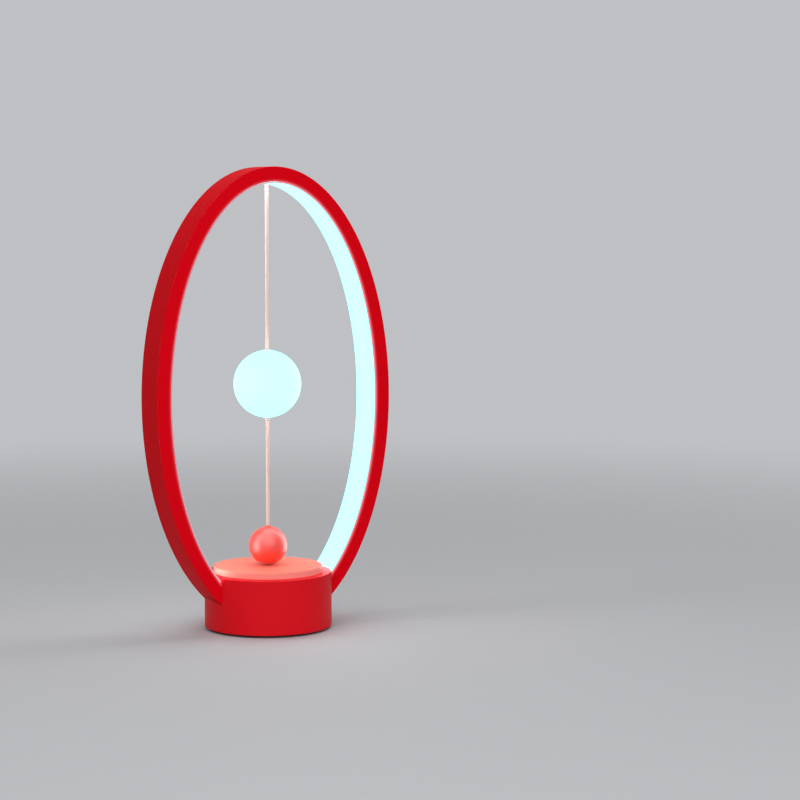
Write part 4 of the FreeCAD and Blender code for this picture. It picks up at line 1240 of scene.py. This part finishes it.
@dataclass
class RoundBase:
    """The housing, its feet and its screws."""

    ring: OvalRing
    radius: float = 50.5 * MM
    wall: float = 2.5 * MM
    top: float = 45 * MM
    bottom: float = 2 * MM
    rim_rounding: float = 0.9 * MM
    hub: float = 12.0 * MM
    gap: float = 0.3 * MM
    foot_circle: float = 40 * MM
    foot_radius: float = 4 * MM
    foot_top: float = 3 * MM
    groove: float = 0.25 * MM
    groove_from: float = 0.42
    groove_to: float = 0.5
    screw_head: float = 2.7 * MM
    screw_low: float = 2.25 * MM
    screw_bearing: float = 3.8 * MM
    screw_core: float = 1.5 * MM
    screw_end: float = 9.8 * MM
    screw_crown: float = 0.55
    screw_dome: float = 0.08 * MM
    screw_rim: float = 0.75 * MM
    cross_arm: float = 0.56
    cross_half: float = 0.13
    cross_above: float = 0.5 * MM
    cross_depth: float = 0.9 * MM
    cross_taper: tuple[float, float] = (1.1, 0.62)
    port_width: float = 9.34 * MM
    port_height: float = 3.66 * MM
    port_middle: float = 20.23 * MM
    port_reach: tuple[float, float] = (44.5 * MM, 54.5 * MM)
    port_parts: int = 32

    def shell(self, palette: Palette) -> Object:
        """The round housing with windows for the ring's legs and a slot for the port.

        Args:
            palette: the materials.

        Returns:
            The piece.
        """
        inside, ceiling = self.radius - self.wall, self.top - self.wall
        section = rounded([
            Corner(self.hub, self.top), Corner(self.radius, self.top, self.rim_rounding),
            Corner(self.radius, self.bottom, 0.4 * MM), Corner(inside, self.bottom),
            Corner(inside, ceiling, 0.6 * MM), Corner(self.hub, ceiling),
        ], steps=8)
        material = palette["housing_red"]
        piece = turned("base_housing", section, material, segments=256, hollow=True)
        carve(piece, [self.ring.window(self.gap, material), self.port_slot(material)], sharp=32)
        return declared(piece, "base_shell", "stand")

    def port_slot(self, material: Material) -> Object:
        """The round-ended slot in the back wall, as a shape to cut with.

        Args:
            material: the shape's material.

        Returns:
            The shape.
        """
        radius, side = self.port_height / 2, (self.port_width - self.port_height) / 2
        outline = []
        for turn in (math.tau * (number + 0.5) / self.port_parts for number in range(self.port_parts)):
            outline.append((math.copysign(side, math.cos(turn)) + radius * math.cos(turn),
                            self.port_middle + radius * math.sin(turn)))
        rows = [[Vector((x, y, z)) for x, z in outline] for y in self.port_reach]
        return Skin(rows, capped=True).piece("port_slot", material)

    def on_circle(self, recipe: str, name: str, part: Object, **values: object) -> Object:
        """Set a part at places on the feet's circle and remove the part.

        Args:
            recipe: the node tree's name.
            name: the new piece's name.
            part: the part.
            values: how many places there are, where the first is, and which are left free.

        Returns:
            The piece.
        """
        piece = ring_of_parts(recipe).run(
            name, part.data.materials[0], Part=part, Circle_Radius=self.foot_circle, **values)
        bpy.data.objects.remove(part)
        return piece

    def feet(self, palette: Palette) -> Object:
        """Four rubber feet with a shallow ring groove in their soles.

        Args:
            palette: the materials.

        Returns:
            The piece.
        """
        radius = self.foot_radius
        section = rounded([
            Corner(0, self.groove), Corner(radius * self.groove_from, self.groove),
            Corner(radius * self.groove_to, 0, 0.12 * MM),
            Corner(radius, 0, 0.5 * MM), Corner(radius, self.foot_top, 0.1 * MM), Corner(0, self.foot_top),
        ], closed=False)
        foot = turned("foot", section, palette["foot_rubber"], segments=64)
        piece = self.on_circle("feet_on_a_circle", "soles", foot, Places=4, First_Turn=0.0, Free_Every=5)
        return declared(piece, "rubber_feet", "stand")

    def screws(self, palette: Palette) -> Object:
        """Four cross-head screws in the bottom cover.

        Args:
            palette: the materials.

        Returns:
            The piece.
        """
        radius, low, bearing = self.screw_head, self.screw_low, self.screw_bearing
        section = rounded([
            Corner(0, low), Corner(radius * self.screw_crown, low + self.screw_dome, 0.6 * MM),
            Corner(radius, low + self.screw_rim, 0.5 * MM), Corner(radius, bearing, 0.08 * MM),
            Corner(self.screw_core, bearing), Corner(self.screw_core, self.screw_end, 0.3 * MM),
            Corner(0, self.screw_end),
        ], closed=False)
        screw = turned("screw", section, palette["screw_steel"], segments=48)
        carve(screw, [self.blade(turn, palette["screw_steel"]) for turn in (0.0, math.pi / 2)], sharp=30)
        piece = self.on_circle("screws_on_a_circle", "cover_screws", screw, Places=6, First_Turn=math.pi / 3,
                               Free_Every=3)
        return declared(piece, "bottom_screws", "stand")

    def blade(self, turn: float, material: Material) -> Object:
        """One arm of a screw's cross recess, as a shape to cut with.

        Args:
            turn: how far round the screw the arm points.
            material: the shape's material.

        Returns:
            The shape.
        """
        arm, half = self.screw_head * self.cross_arm, self.screw_head * self.cross_half
        corners = [(-arm, -half), (arm, -half), (arm, half), (-arm, half)]
        spin = Matrix.Rotation(turn, 3, "Z")
        heights = (self.screw_low - self.cross_above, self.screw_low + self.cross_depth)
        rows = [[spin @ Vector((x * share, y * share, height)) for x, y in corners]
                for height, share in zip(heights, self.cross_taper)]
        return Skin(rows, capped=True).piece("blade", material)

    def build(self, palette: Palette) -> list[Object]:
        """Build the base's pieces, all of which stand still."""
        return [self.feet(palette), self.screws(palette), self.shell(palette)]


@dataclass
class Deck:
    """The round plate on the base that the ball floats over."""

    radius: float = 43.3 * MM
    low: float = 45 * MM
    top: float = 50 * MM
    rounding: float = 0.75 * MM
    skin: float = 2.2 * MM
    painted_glow_depth: float = 0.1 * MM

    def build(self, palette: Palette) -> list[Object]:
        """Build the plate, with a painted glow marked on its side that stands in for the strip's light.

        Args:
            palette: the materials.

        Returns:
            The piece, in a list.
        """
        inside, ceiling = self.radius - self.skin, self.top - self.skin
        section = rounded([
            Corner(0, self.top), Corner(self.radius, self.top, self.rounding),
            Corner(self.radius, self.low, 0.15 * MM), Corner(inside, self.low), Corner(inside, ceiling),
            Corner(0, ceiling),
        ], closed=False, steps=8)
        # Painted glow: the spots on the plate's side are marked lit, for an emission that stands in for the
        # strip's light on it.
        section = [replace(spot, lit=float(spot.across > self.radius - self.painted_glow_depth)) for spot in section]
        piece = turned("deck_plate", section, palette["deck_coral"], segments=224)
        return [declared(piece, "deck", "stand")]


@dataclass
class ChargingPort:
    """The contacts on the port's tongue."""

    count: int = 12
    pitch: float = 0.5 * MM
    pad: Triple = (0.3 * MM, 2.2 * MM, 0.76 * MM)
    middle: Triple = (0.0, 46.1 * MM, 20.23 * MM)

    def build(self, palette: Palette) -> list[Object]:
        """Build a row of gilt pads that wrap the tongue's two faces.

        Args:
            palette: the materials.

        Returns:
            The piece, in a list.
        """
        recipe = Recipe("contact_row")
        graph = recipe.graph
        count, pitch, size, middle = recipe.entries(
            Contacts="Int", Pitch="Float", Pad_Size="Vector", Middle="Vector")
        step = graph.add("ShaderNodeCombineXYZ", {0: pitch}).outputs[0]
        span = graph.times(graph.minus(count, 1.0), graph.times(pitch, -0.5))
        back = graph.add("ShaderNodeCombineXYZ", {0: span}).outputs[0]
        start = graph.add("ShaderNodeVectorMath", {0: middle, 1: back}, operation="ADD").outputs[0]
        line = graph.add("GeometryNodeMeshLine", {"Count": count, "Start Location": start, "Offset": step})
        pad = graph.add("GeometryNodeMeshCube", {"Size": size}).outputs[0]
        recipe.ends_in(graph.add(
            "GeometryNodeInstanceOnPoints", {"Points": line.outputs[0], "Instance": pad}).outputs[0])
        piece = recipe.run("port_contacts", palette["contact_gold"], Contacts=self.count, Pitch=self.pitch,
                           Pad_Size=self.pad, Middle=self.middle)
        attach(piece, "stand")
        return [piece]


# ------------------------------------------------------------------ cords


@dataclass
class BraidedCord:
    """A taut braided cord down the lamp's axis."""

    name: str
    start: float
    end: float
    radius: float = 1.5 * MM
    yarns: int = 8
    yarn_radius: float = 0.34 * MM
    yarn_sides: int = 5
    core_sides: int = 16
    lift: float = 0.12 * MM
    turn_length: float = 11.5 * MM
    parts_per_turn: int = 50
    route_parts: int = 6

    @property
    def length(self) -> float:
        """The cord's length."""
        return self.start - self.end

    def route(self) -> Object:
        """The cord's centre line, as a smooth spline from its exit to its far end.

        Returns:
            The line.
        """
        curve = bpy.data.curves.new(f"{self.name}_route", "CURVE")
        curve.dimensions = "3D"
        spline = curve.splines.new("NURBS")
        spline.points.add(self.route_parts)
        for number, point in enumerate(spline.points):
            point.co = (0.0, 0.0, self.start - self.length * number / self.route_parts, 1.0)
        spline.order_u = 3
        spline.use_endpoint_u = True
        return placed(f"{self.name}_route", curve)

    def recipe(self) -> Recipe:
        """Yarns that wind both ways round the centre line and pass over and under each other, on a core.

        Returns:
            The recipe.
        """
        recipe = Recipe("braid_on_a_line")
        graph = recipe.graph
        line, parts, count, ring, lift, thick, pitch = recipe.entries(
            Line="Object", Parts="Int", Yarns="Int", Winding_Radius="Float", Lift="Float",
            Yarn_Radius="Float", Turn_Length="Float")
        source = graph.add("GeometryNodeObjectInfo", {"Object": line}).outputs["Geometry"]
        even = graph.add("GeometryNodeResampleCurve", {"Curve": source, "Count": parts}).outputs[0]
        joined = graph.add("GeometryNodeJoinGeometry")

        def tube(curve: Socket, sides: int, radius: Socket) -> None:
            """Add a closed tube along a curve to what the recipe makes.

            Args:
                curve: the curve.
                sides: how many sides the tube has.
                radius: the tube's radius.
            """
            circle = graph.add("GeometryNodeCurvePrimitiveCircle", {"Resolution": sides, "Radius": radius})
            made = graph.add("GeometryNodeCurveToMesh", {
                "Curve": curve, "Profile Curve": circle.outputs[0], "Fill Caps": True})
            graph.feed(joined.inputs[0], made.outputs[0])

        for way in (1.0, -1.0):
            copies = graph.add(
                "GeometryNodeDuplicateElements", {"Geometry": even, "Amount": count}, domain="SPLINE")
            along = graph.add("GeometryNodeSplineParameter").outputs["Length"]
            wound = graph.times(graph.over(along, pitch), math.tau)
            share = graph.over(copies.outputs["Duplicate Index"], count)
            turn = graph.plus(graph.times(wound, way), graph.times(share, math.tau))
            wave = graph.maths("COSINE", graph.times(wound, count))
            out = graph.plus(ring, graph.times(graph.times(wave, lift), way))
            offset = graph.add("ShaderNodeCombineXYZ", {
                0: graph.times(graph.maths("COSINE", turn), out),
                1: graph.times(graph.maths("SINE", turn), out)}).outputs[0]
            yarn = graph.add("GeometryNodeSetPosition", {"Geometry": copies.outputs[0], "Offset": offset})
            tube(yarn.outputs[0], self.yarn_sides, thick)
        tube(source, self.core_sides, ring)
        recipe.ends_in(joined.outputs[0])
        return recipe

    def build(self, palette: Palette, node: str, body: str) -> Object:
        """Build the cord.

        Args:
            palette: the materials.
            node: the solid that it stands for.
            body: what it moves with.

        Returns:
            The braided mesh.
        """
        line = self.route()
        route = evaluated(line)
        bpy.data.meshes.remove(route)
        piece = self.recipe().run(
            self.name, palette["cord_cream"], Line=line, Yarns=self.yarns, Lift=self.lift,
            Parts=int(self.length / self.turn_length * self.parts_per_turn), Yarn_Radius=self.yarn_radius,
            Winding_Radius=self.radius - self.lift - self.yarn_radius, Turn_Length=self.turn_length)
        bpy.data.objects.remove(line)
        lay_measure(piece, lambda point: (point.z, math.atan2(point.y, point.x) * self.radius))
        declared(piece, node, body)
        self.length
        return piece


@dataclass
class Cords:
    """The two cords: one holds the globe, and the other holds the ball under it."""

    pivot: float = 352.2 * MM
    globe_top: float = 220.95 * MM
    in_cap: float = 2 * MM
    lower_pivot: float = 166.75 * MM
    ball_end: float = 80.1 * MM
    ball_travel: float = 40.0 * MM
    under_bead: float = 1.3 * MM

    def build(self, palette: Palette) -> list[Object]:
        """Build both cords, the lower one with its own copy of its mesh.

        Args:
            palette: the materials.

        Returns:
            The two cords.
        """
        upper = BraidedCord("pendant_braid", self.pivot - self.under_bead, self.globe_top - self.in_cap)
        lower = BraidedCord("tether_braid", self.lower_pivot - self.under_bead, self.ball_end)
        first = upper.build(palette, "upper_cord", "pendant_cord")
        second = lower.build(palette, "lower_cord", "tether")
        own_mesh(second)
        return [first, second]


# ------------------------------------------------------------------ pendant


@dataclass
class Hanger:
    """The turned mouth in the top of the ring that the upper bead swings in."""

    mouth: float = 352.2 * MM
    outside: float = 2.6 * MM
    bore: float = 2.03 * MM
    tail_bore: float = 0.9 * MM
    flange: float = 4.0 * MM
    flange_low: float = 354.0 * MM
    flange_high: float = 355.0 * MM
    high: float = 358.0 * MM
    seat_depth: float = 2.05 * MM
    bore_depth: float = 0.4 * MM
    proud: float = 0.15 * MM

    def build(self, palette: Palette) -> list[Object]:
        """Build the mouth with a small bead round its edge.

        Args:
            palette: the materials.

        Returns:
            The piece, in a list.
        """
        low = self.mouth - self.proud
        section = rounded([
            Corner(self.bore, low, 0.12 * MM), Corner(self.outside, low, 0.2 * MM),
            Corner(self.outside, self.flange_low), Corner(self.flange, self.flange_low, 0.1 * MM),
            Corner(self.flange, self.flange_high, 0.1 * MM), Corner(self.outside, self.flange_high),
            Corner(self.outside, self.high), Corner(self.tail_bore, self.high),
            Corner(self.tail_bore, self.mouth + self.seat_depth),
            Corner(self.bore, self.mouth + self.bore_depth, 0.3 * MM),
        ])
        piece = turned("hanger_mouth", section, palette["cap_lit"], segments=72, hollow=True)
        return [declared(piece, "hanger_socket", "stand")]


@dataclass
class Globe:
    """The glowing globe: two opal halves with a fine parting line, and a turned cap at each end."""

    middle: float = GLOBE_MIDDLE
    radius: float = GLOBE_RADIUS
    wall: float = 1.6 * MM
    hole: float = 3.9 * MM
    cap_radius: float = 3.8 * MM
    cap_proud: float = 1.0 * MM
    cap_root: float = 3.2 * MM
    cap_step: float = 0.3 * MM
    cap_slope: float = 1.0 * MM
    cap_fall: float = 0.22 * MM
    mouth_lip: float = 0.5 * MM
    seat_lip: float = 0.25 * MM
    seat_parts: int = 8
    cap_bore: float = 1.58 * MM
    bead_seat: float = 2.0 * MM
    tail_bore: float = 0.9 * MM
    parting: float = 0.16 * MM
    parting_turn: float = 0.012
    outer_parts: int = 44
    inner_parts: int = 24

    def half(self) -> list[Spot]:
        """The section of one half, with its wall, about the globe's middle.

        Returns:
            The section's points in order.
        """
        inner = self.radius - self.wall
        return rounded([
            *arc(self.radius, 0.0, math.acos(self.hole / self.radius), self.parting_turn, self.outer_parts),
            Corner(self.radius, 0.0, self.parting),
            *arc(inner, 0.0, 0.0, math.acos(self.hole / inner), self.inner_parts),
        ], steps=4)

    def cap(self, mouth: Sequence[Corner]) -> list[Spot]:
        """The section of a low domed cap with a mouth, about the globe's middle.

        Args:
            mouth: the mouth's corners, from its outer edge inwards.

        Returns:
            The section's points in order.
        """
        face, root = self.radius + self.cap_proud, self.radius - self.cap_root
        shoulder = math.sqrt(self.radius ** 2 - self.cap_radius ** 2) + self.cap_step
        return rounded([
            Corner(self.cap_radius, root), Corner(self.cap_radius, shoulder, 0.15 * MM),
            Corner(self.cap_radius - self.cap_slope, face - self.cap_fall, 0.8 * MM), *mouth,
            Corner(mouth[-1].across, root),
        ])

    def cord_mouth(self) -> list[Corner]:
        """The top cap's mouth, which the upper cord goes into.

        Returns:
            The mouth's corners, from its outer edge inwards.
        """
        face = self.radius + self.cap_proud
        return [Corner(self.cap_bore + self.mouth_lip, face, 0.12 * MM),
                Corner(self.cap_bore, face, 0.08 * MM)]

    def bead_mouth(self) -> list[Corner]:
        """The bottom cap's mouth, which the lower bead swings in.

        Returns:
            The mouth's corners, from its outer edge inwards.
        """
        face, turn = self.radius + self.cap_proud, -math.acos(self.tail_bore / self.bead_seat)
        return [Corner(self.bead_seat + self.seat_lip, face, 0.1 * MM),
                *arc(self.bead_seat, face, 0.0, turn, self.seat_parts)]

    def build(self, palette: Palette) -> list[Object]:
        """Build the globe's pieces, which turn together.

        Args:
            palette: the materials.

        Returns:
            The pieces.
        """
        half, top, bottom = self.half(), self.cap(self.cord_mouth()), self.cap(self.bead_mouth())
        pieces = []
        for name, node, way, section, finish, slot, segments in (
                ("globe_upper", "globe_upper_shell", 1.0, half, "globe_opal", "globe_opal", 160),
                ("globe_lower", "globe_lower_shell", -1.0, half, "globe_opal", "globe_opal", 160),
                ("globe_cap_top", "globe_top_cap", 1.0, top, "cap_lit", "cap_white", 72),
                ("globe_cap_bottom", "globe_bottom_cap", -1.0, bottom, "cap_lit", "cap_white", 72)):
            spots = [replace(spot, along=self.middle + way * spot.along) for spot in section]
            piece = turned(name, spots, palette[finish], segments=segments, hollow=True)
            pieces.append(declared(piece, node, "pendant_globe"))
        return pieces


@dataclass
class SwitchBall:
    """The small ball with the magnet in it."""

    middle: float = 65.6 * MM
    radius: float = 15.3 * MM
    ferrule: float = 2.3 * MM
    ferrule_top: float = 81.7 * MM
    ferrule_low: float = 77.7 * MM
    ferrule_fit: float = 0.1 * MM
    ferrule_gap: float = 0.05 * MM
    plug: float = 5.0 * MM
    plug_fit: float = 0.08 * MM
    plug_top: float = 12.9 * MM
    pocket: float = 12.8 * MM
    bore: float = 1.58 * MM
    side_parts: int = 72
    plug_parts: int = 12

    def ball(self) -> list[Spot]:
        """The section of the ball, open at the top for its ferrule and below for its plug.

        Returns:
            The section's points in order.
        """
        top = math.acos((self.ferrule + self.ferrule_fit) / self.radius)
        low = -math.acos((self.plug + self.plug_fit) / self.radius)
        first, *side, last = arc(self.radius, self.middle, top, low, self.side_parts)
        return rounded([
            Corner(0, self.ferrule_low), Corner(first.across, self.ferrule_low),
            replace(first, rounding=0.12 * MM), *side, replace(last, rounding=0.08 * MM),
            Corner(last.across, self.middle - self.pocket), Corner(0, self.middle - self.pocket),
        ], closed=False, steps=4)

    def underside(self) -> list[Spot]:
        """The section of the plug that closes the magnet's pocket and follows the ball's round.

        Returns:
            The section's points in order.
        """
        rim = -math.acos(self.plug / self.radius)
        _pole, *side, last = arc(self.radius, self.middle, -math.pi / 2, rim, self.plug_parts)
        return rounded([
            Corner(0, self.middle - self.radius), *side, replace(last, rounding=0.08 * MM),
            Corner(self.plug, self.middle - self.plug_top), Corner(0, self.middle - self.plug_top),
        ], closed=False, steps=4)

    def sleeve(self) -> list[Spot]:
        """The section of the ferrule that grips the cord.

        Returns:
            The section's points in order.
        """
        low = self.ferrule_low + self.ferrule_gap
        return rounded([
            Corner(self.bore, self.ferrule_top, 0.12 * MM),
            Corner(self.ferrule, self.ferrule_top, 0.22 * MM),
            Corner(self.ferrule, low), Corner(self.bore, low),
        ])

    def build(self, palette: Palette) -> list[Object]:
        """Build the ball's pieces, which move together.

        Args:
            palette: the materials.

        Returns:
            The pieces.
        """
        coral, grip = palette["ball_coral"], palette["cord_grip"]
        body = turned("ball_body", self.ball(), coral, segments=144)
        underside = turned("ball_underside", self.underside(), coral, segments=96)
        sleeve = turned("ball_sleeve", self.sleeve(), grip, segments=64, hollow=True)
        return [declared(body, "ball", "switch_ball"),
                declared(underside, "ball_plug", "switch_ball"),
                declared(sleeve, "ball_ferrule", "switch_ball")]


# ------------------------------------------------------------------ the rest and the studio


class InnerParts:
    """The nodes that keep their own shape and take a finish."""

    def dress(self, palette: Palette) -> int:
        """Give each node the material of its slot.

        Args:
            palette: the materials.

        Returns:
            How many nodes there are.
        """
        parts = frame["record"]["subparts"]
        for part in parts:
            node = frame["nodes"][part["node"]]
            material = palette[part["material_slot"]]
            if not node.material_slots:
                node.data.materials.append(material)
            for place in node.material_slots:
                place.material = material
        return len(parts)


@dataclass(frozen=True)
class SoftLamp:
    """A soft square lamp that faces the object."""

    name: str
    place: Triple
    size: float
    watts: float
    target: Triple = (0.0, 0.0, 0.18)

    def build(self) -> None:
        """Put the lamp in the scene."""
        data = bpy.data.lights.new(self.name, "AREA")
        data.shape, data.size, data.energy = "SQUARE", self.size, self.watts
        lamp = placed(self.name, data)
        lamp.location = self.place
        lamp.rotation_euler = (Vector(self.place) - Vector(self.target)).to_track_quat("Z", "Y").to_euler()


@dataclass
class Studio:
    """A plain pale floor, soft lamps and the camera."""

    camera_place: Triple = (-0.7494, -1.6342, 0.3368)
    heading: Triple = (0.46737, 0.87985, -0.08618)
    roll: float = 0.0009
    lens: float = 102.54
    sensor: float = 36.0
    nearest: float = 0.01
    lamps: tuple[SoftLamp, ...] = (
        SoftLamp("key", (-0.45, -1.2, 1.2), size=2.2, watts=22.5),
        SoftLamp("top", (0.3, 0.4, 1.5), size=1.0, watts=5.0),
    )
    fill: float = 0.30
    backdrop: Colour = (0.52, 0.53, 0.55)
    floor_colour: Colour = (0.54, 0.55, 0.57)
    floor_roughness: float = 0.75
    floor_half: float = 12.0
    fade_start: float = 0.25
    fade_end: float = 1.6

    def camera(self) -> None:
        """Create the camera."""
        data = bpy.data.cameras.new("view")
        data.lens, data.sensor_width, data.clip_start = self.lens, self.sensor, self.nearest
        ahead = Vector(self.heading).normalized()
        right = ahead.cross(Vector((0, 0, 1))).normalized()
        up = right.cross(ahead)
        tilt = Matrix.Rotation(-self.roll, 3, ahead)
        turn = Matrix((tilt @ right, tilt @ up, -ahead)).transposed().to_4x4()
        camera = placed("view", data)
        camera.matrix_world = Matrix.Translation(self.camera_place) @ turn
        bpy.context.scene.camera = camera

    def world(self) -> None:
        """Light the scene evenly, and show the backdrop's colour behind it."""
        world = bpy.data.worlds.new("studio")
        world.use_nodes = True
        bpy.context.scene.world = world
        graph = Graph(world.node_tree)
        graph.tree.nodes.clear()
        rays = graph.add("ShaderNodeLightPath").outputs
        seen = graph.maths("MAXIMUM", rays["Is Camera Ray"], rays["Is Transmission Ray"])
        seen = graph.maths("MAXIMUM", seen, rays["Is Glossy Ray"])
        light = graph.add("ShaderNodeBackground", {"Color": (1, 1, 1, 1), "Strength": self.fill})
        behind = graph.add("ShaderNodeBackground", {"Color": rgba(self.backdrop), "Strength": 1.0})
        both = graph.add("ShaderNodeMixShader", {0: seen, 1: light.outputs[0], 2: behind.outputs[0]})
        graph.add("ShaderNodeOutputWorld", {"Surface": both.outputs[0]})

    def floor(self, effects: Effects) -> None:
        """Lay a wide floor that fades out into the backdrop far from the lamp.

        Args:
            effects: the shared effects.
        """
        graph = MaterialGraph("floor", effects)
        away = graph.add("ShaderNodeVectorMath", {0: graph.place}, operation="LENGTH").outputs["Value"]
        cover = graph.add("ShaderNodeMapRange", {
            "Value": away, "From Min": self.fade_start, "From Max": self.fade_end, "To Min": 1.0,
            "To Max": 0.0}, interpolation_type="SMOOTHSTEP").outputs[0]
        skin = graph.skin(grain=0.9 * MM, ripple=12 * MM, share=0.4)
        graph.set(Base_Color=rgba(self.floor_colour), Roughness=self.floor_roughness,
                  Specular_IOR_Level=0.2, Alpha=cover)
        graph.relief(skin.outputs["Height"], depth=0.02 * MM)
        mesh = bpy.data.meshes.new("floor")
        half = self.floor_half
        mesh.from_pydata([(-half, -half, 0), (half, -half, 0), (half, half, 0), (-half, half, 0)], [],
                         [(0, 1, 2, 3)])
        mesh.materials.append(graph.material)
        placed("floor", mesh)

    def build(self, effects: Effects) -> None:
        """Build the studio.

        Args:
            effects: the shared effects.
        """
        bpy.context.scene.view_settings.view_transform = "Standard"
        self.camera()
        self.world()
        for lamp in self.lamps:
            lamp.build()
        self.floor(effects)


def main() -> None:
    """Build the lamp and its studio."""
    logging.basicConfig(level=logging.INFO, format="%(message)s")
    palette = Palette()
    Studio().build(palette.effects)
    ring = OvalRing()
    makers: dict[str, Maker] = {
        "cords": Cords(), "ring": ring, "base": RoundBase(ring), "deck": Deck(), "port": ChargingPort(),
        "hanger": Hanger(), "globe": Globe(), "ball": SwitchBall()}
    for what, maker in makers.items():
        for piece in maker.build(palette):
            log.info("%s: %s, %d faces", what, piece.name, len(piece.data.polygons))
    log.info("inner parts: %d nodes dressed", InnerParts().dress(palette))


if __name__ == "__main__":
    main()
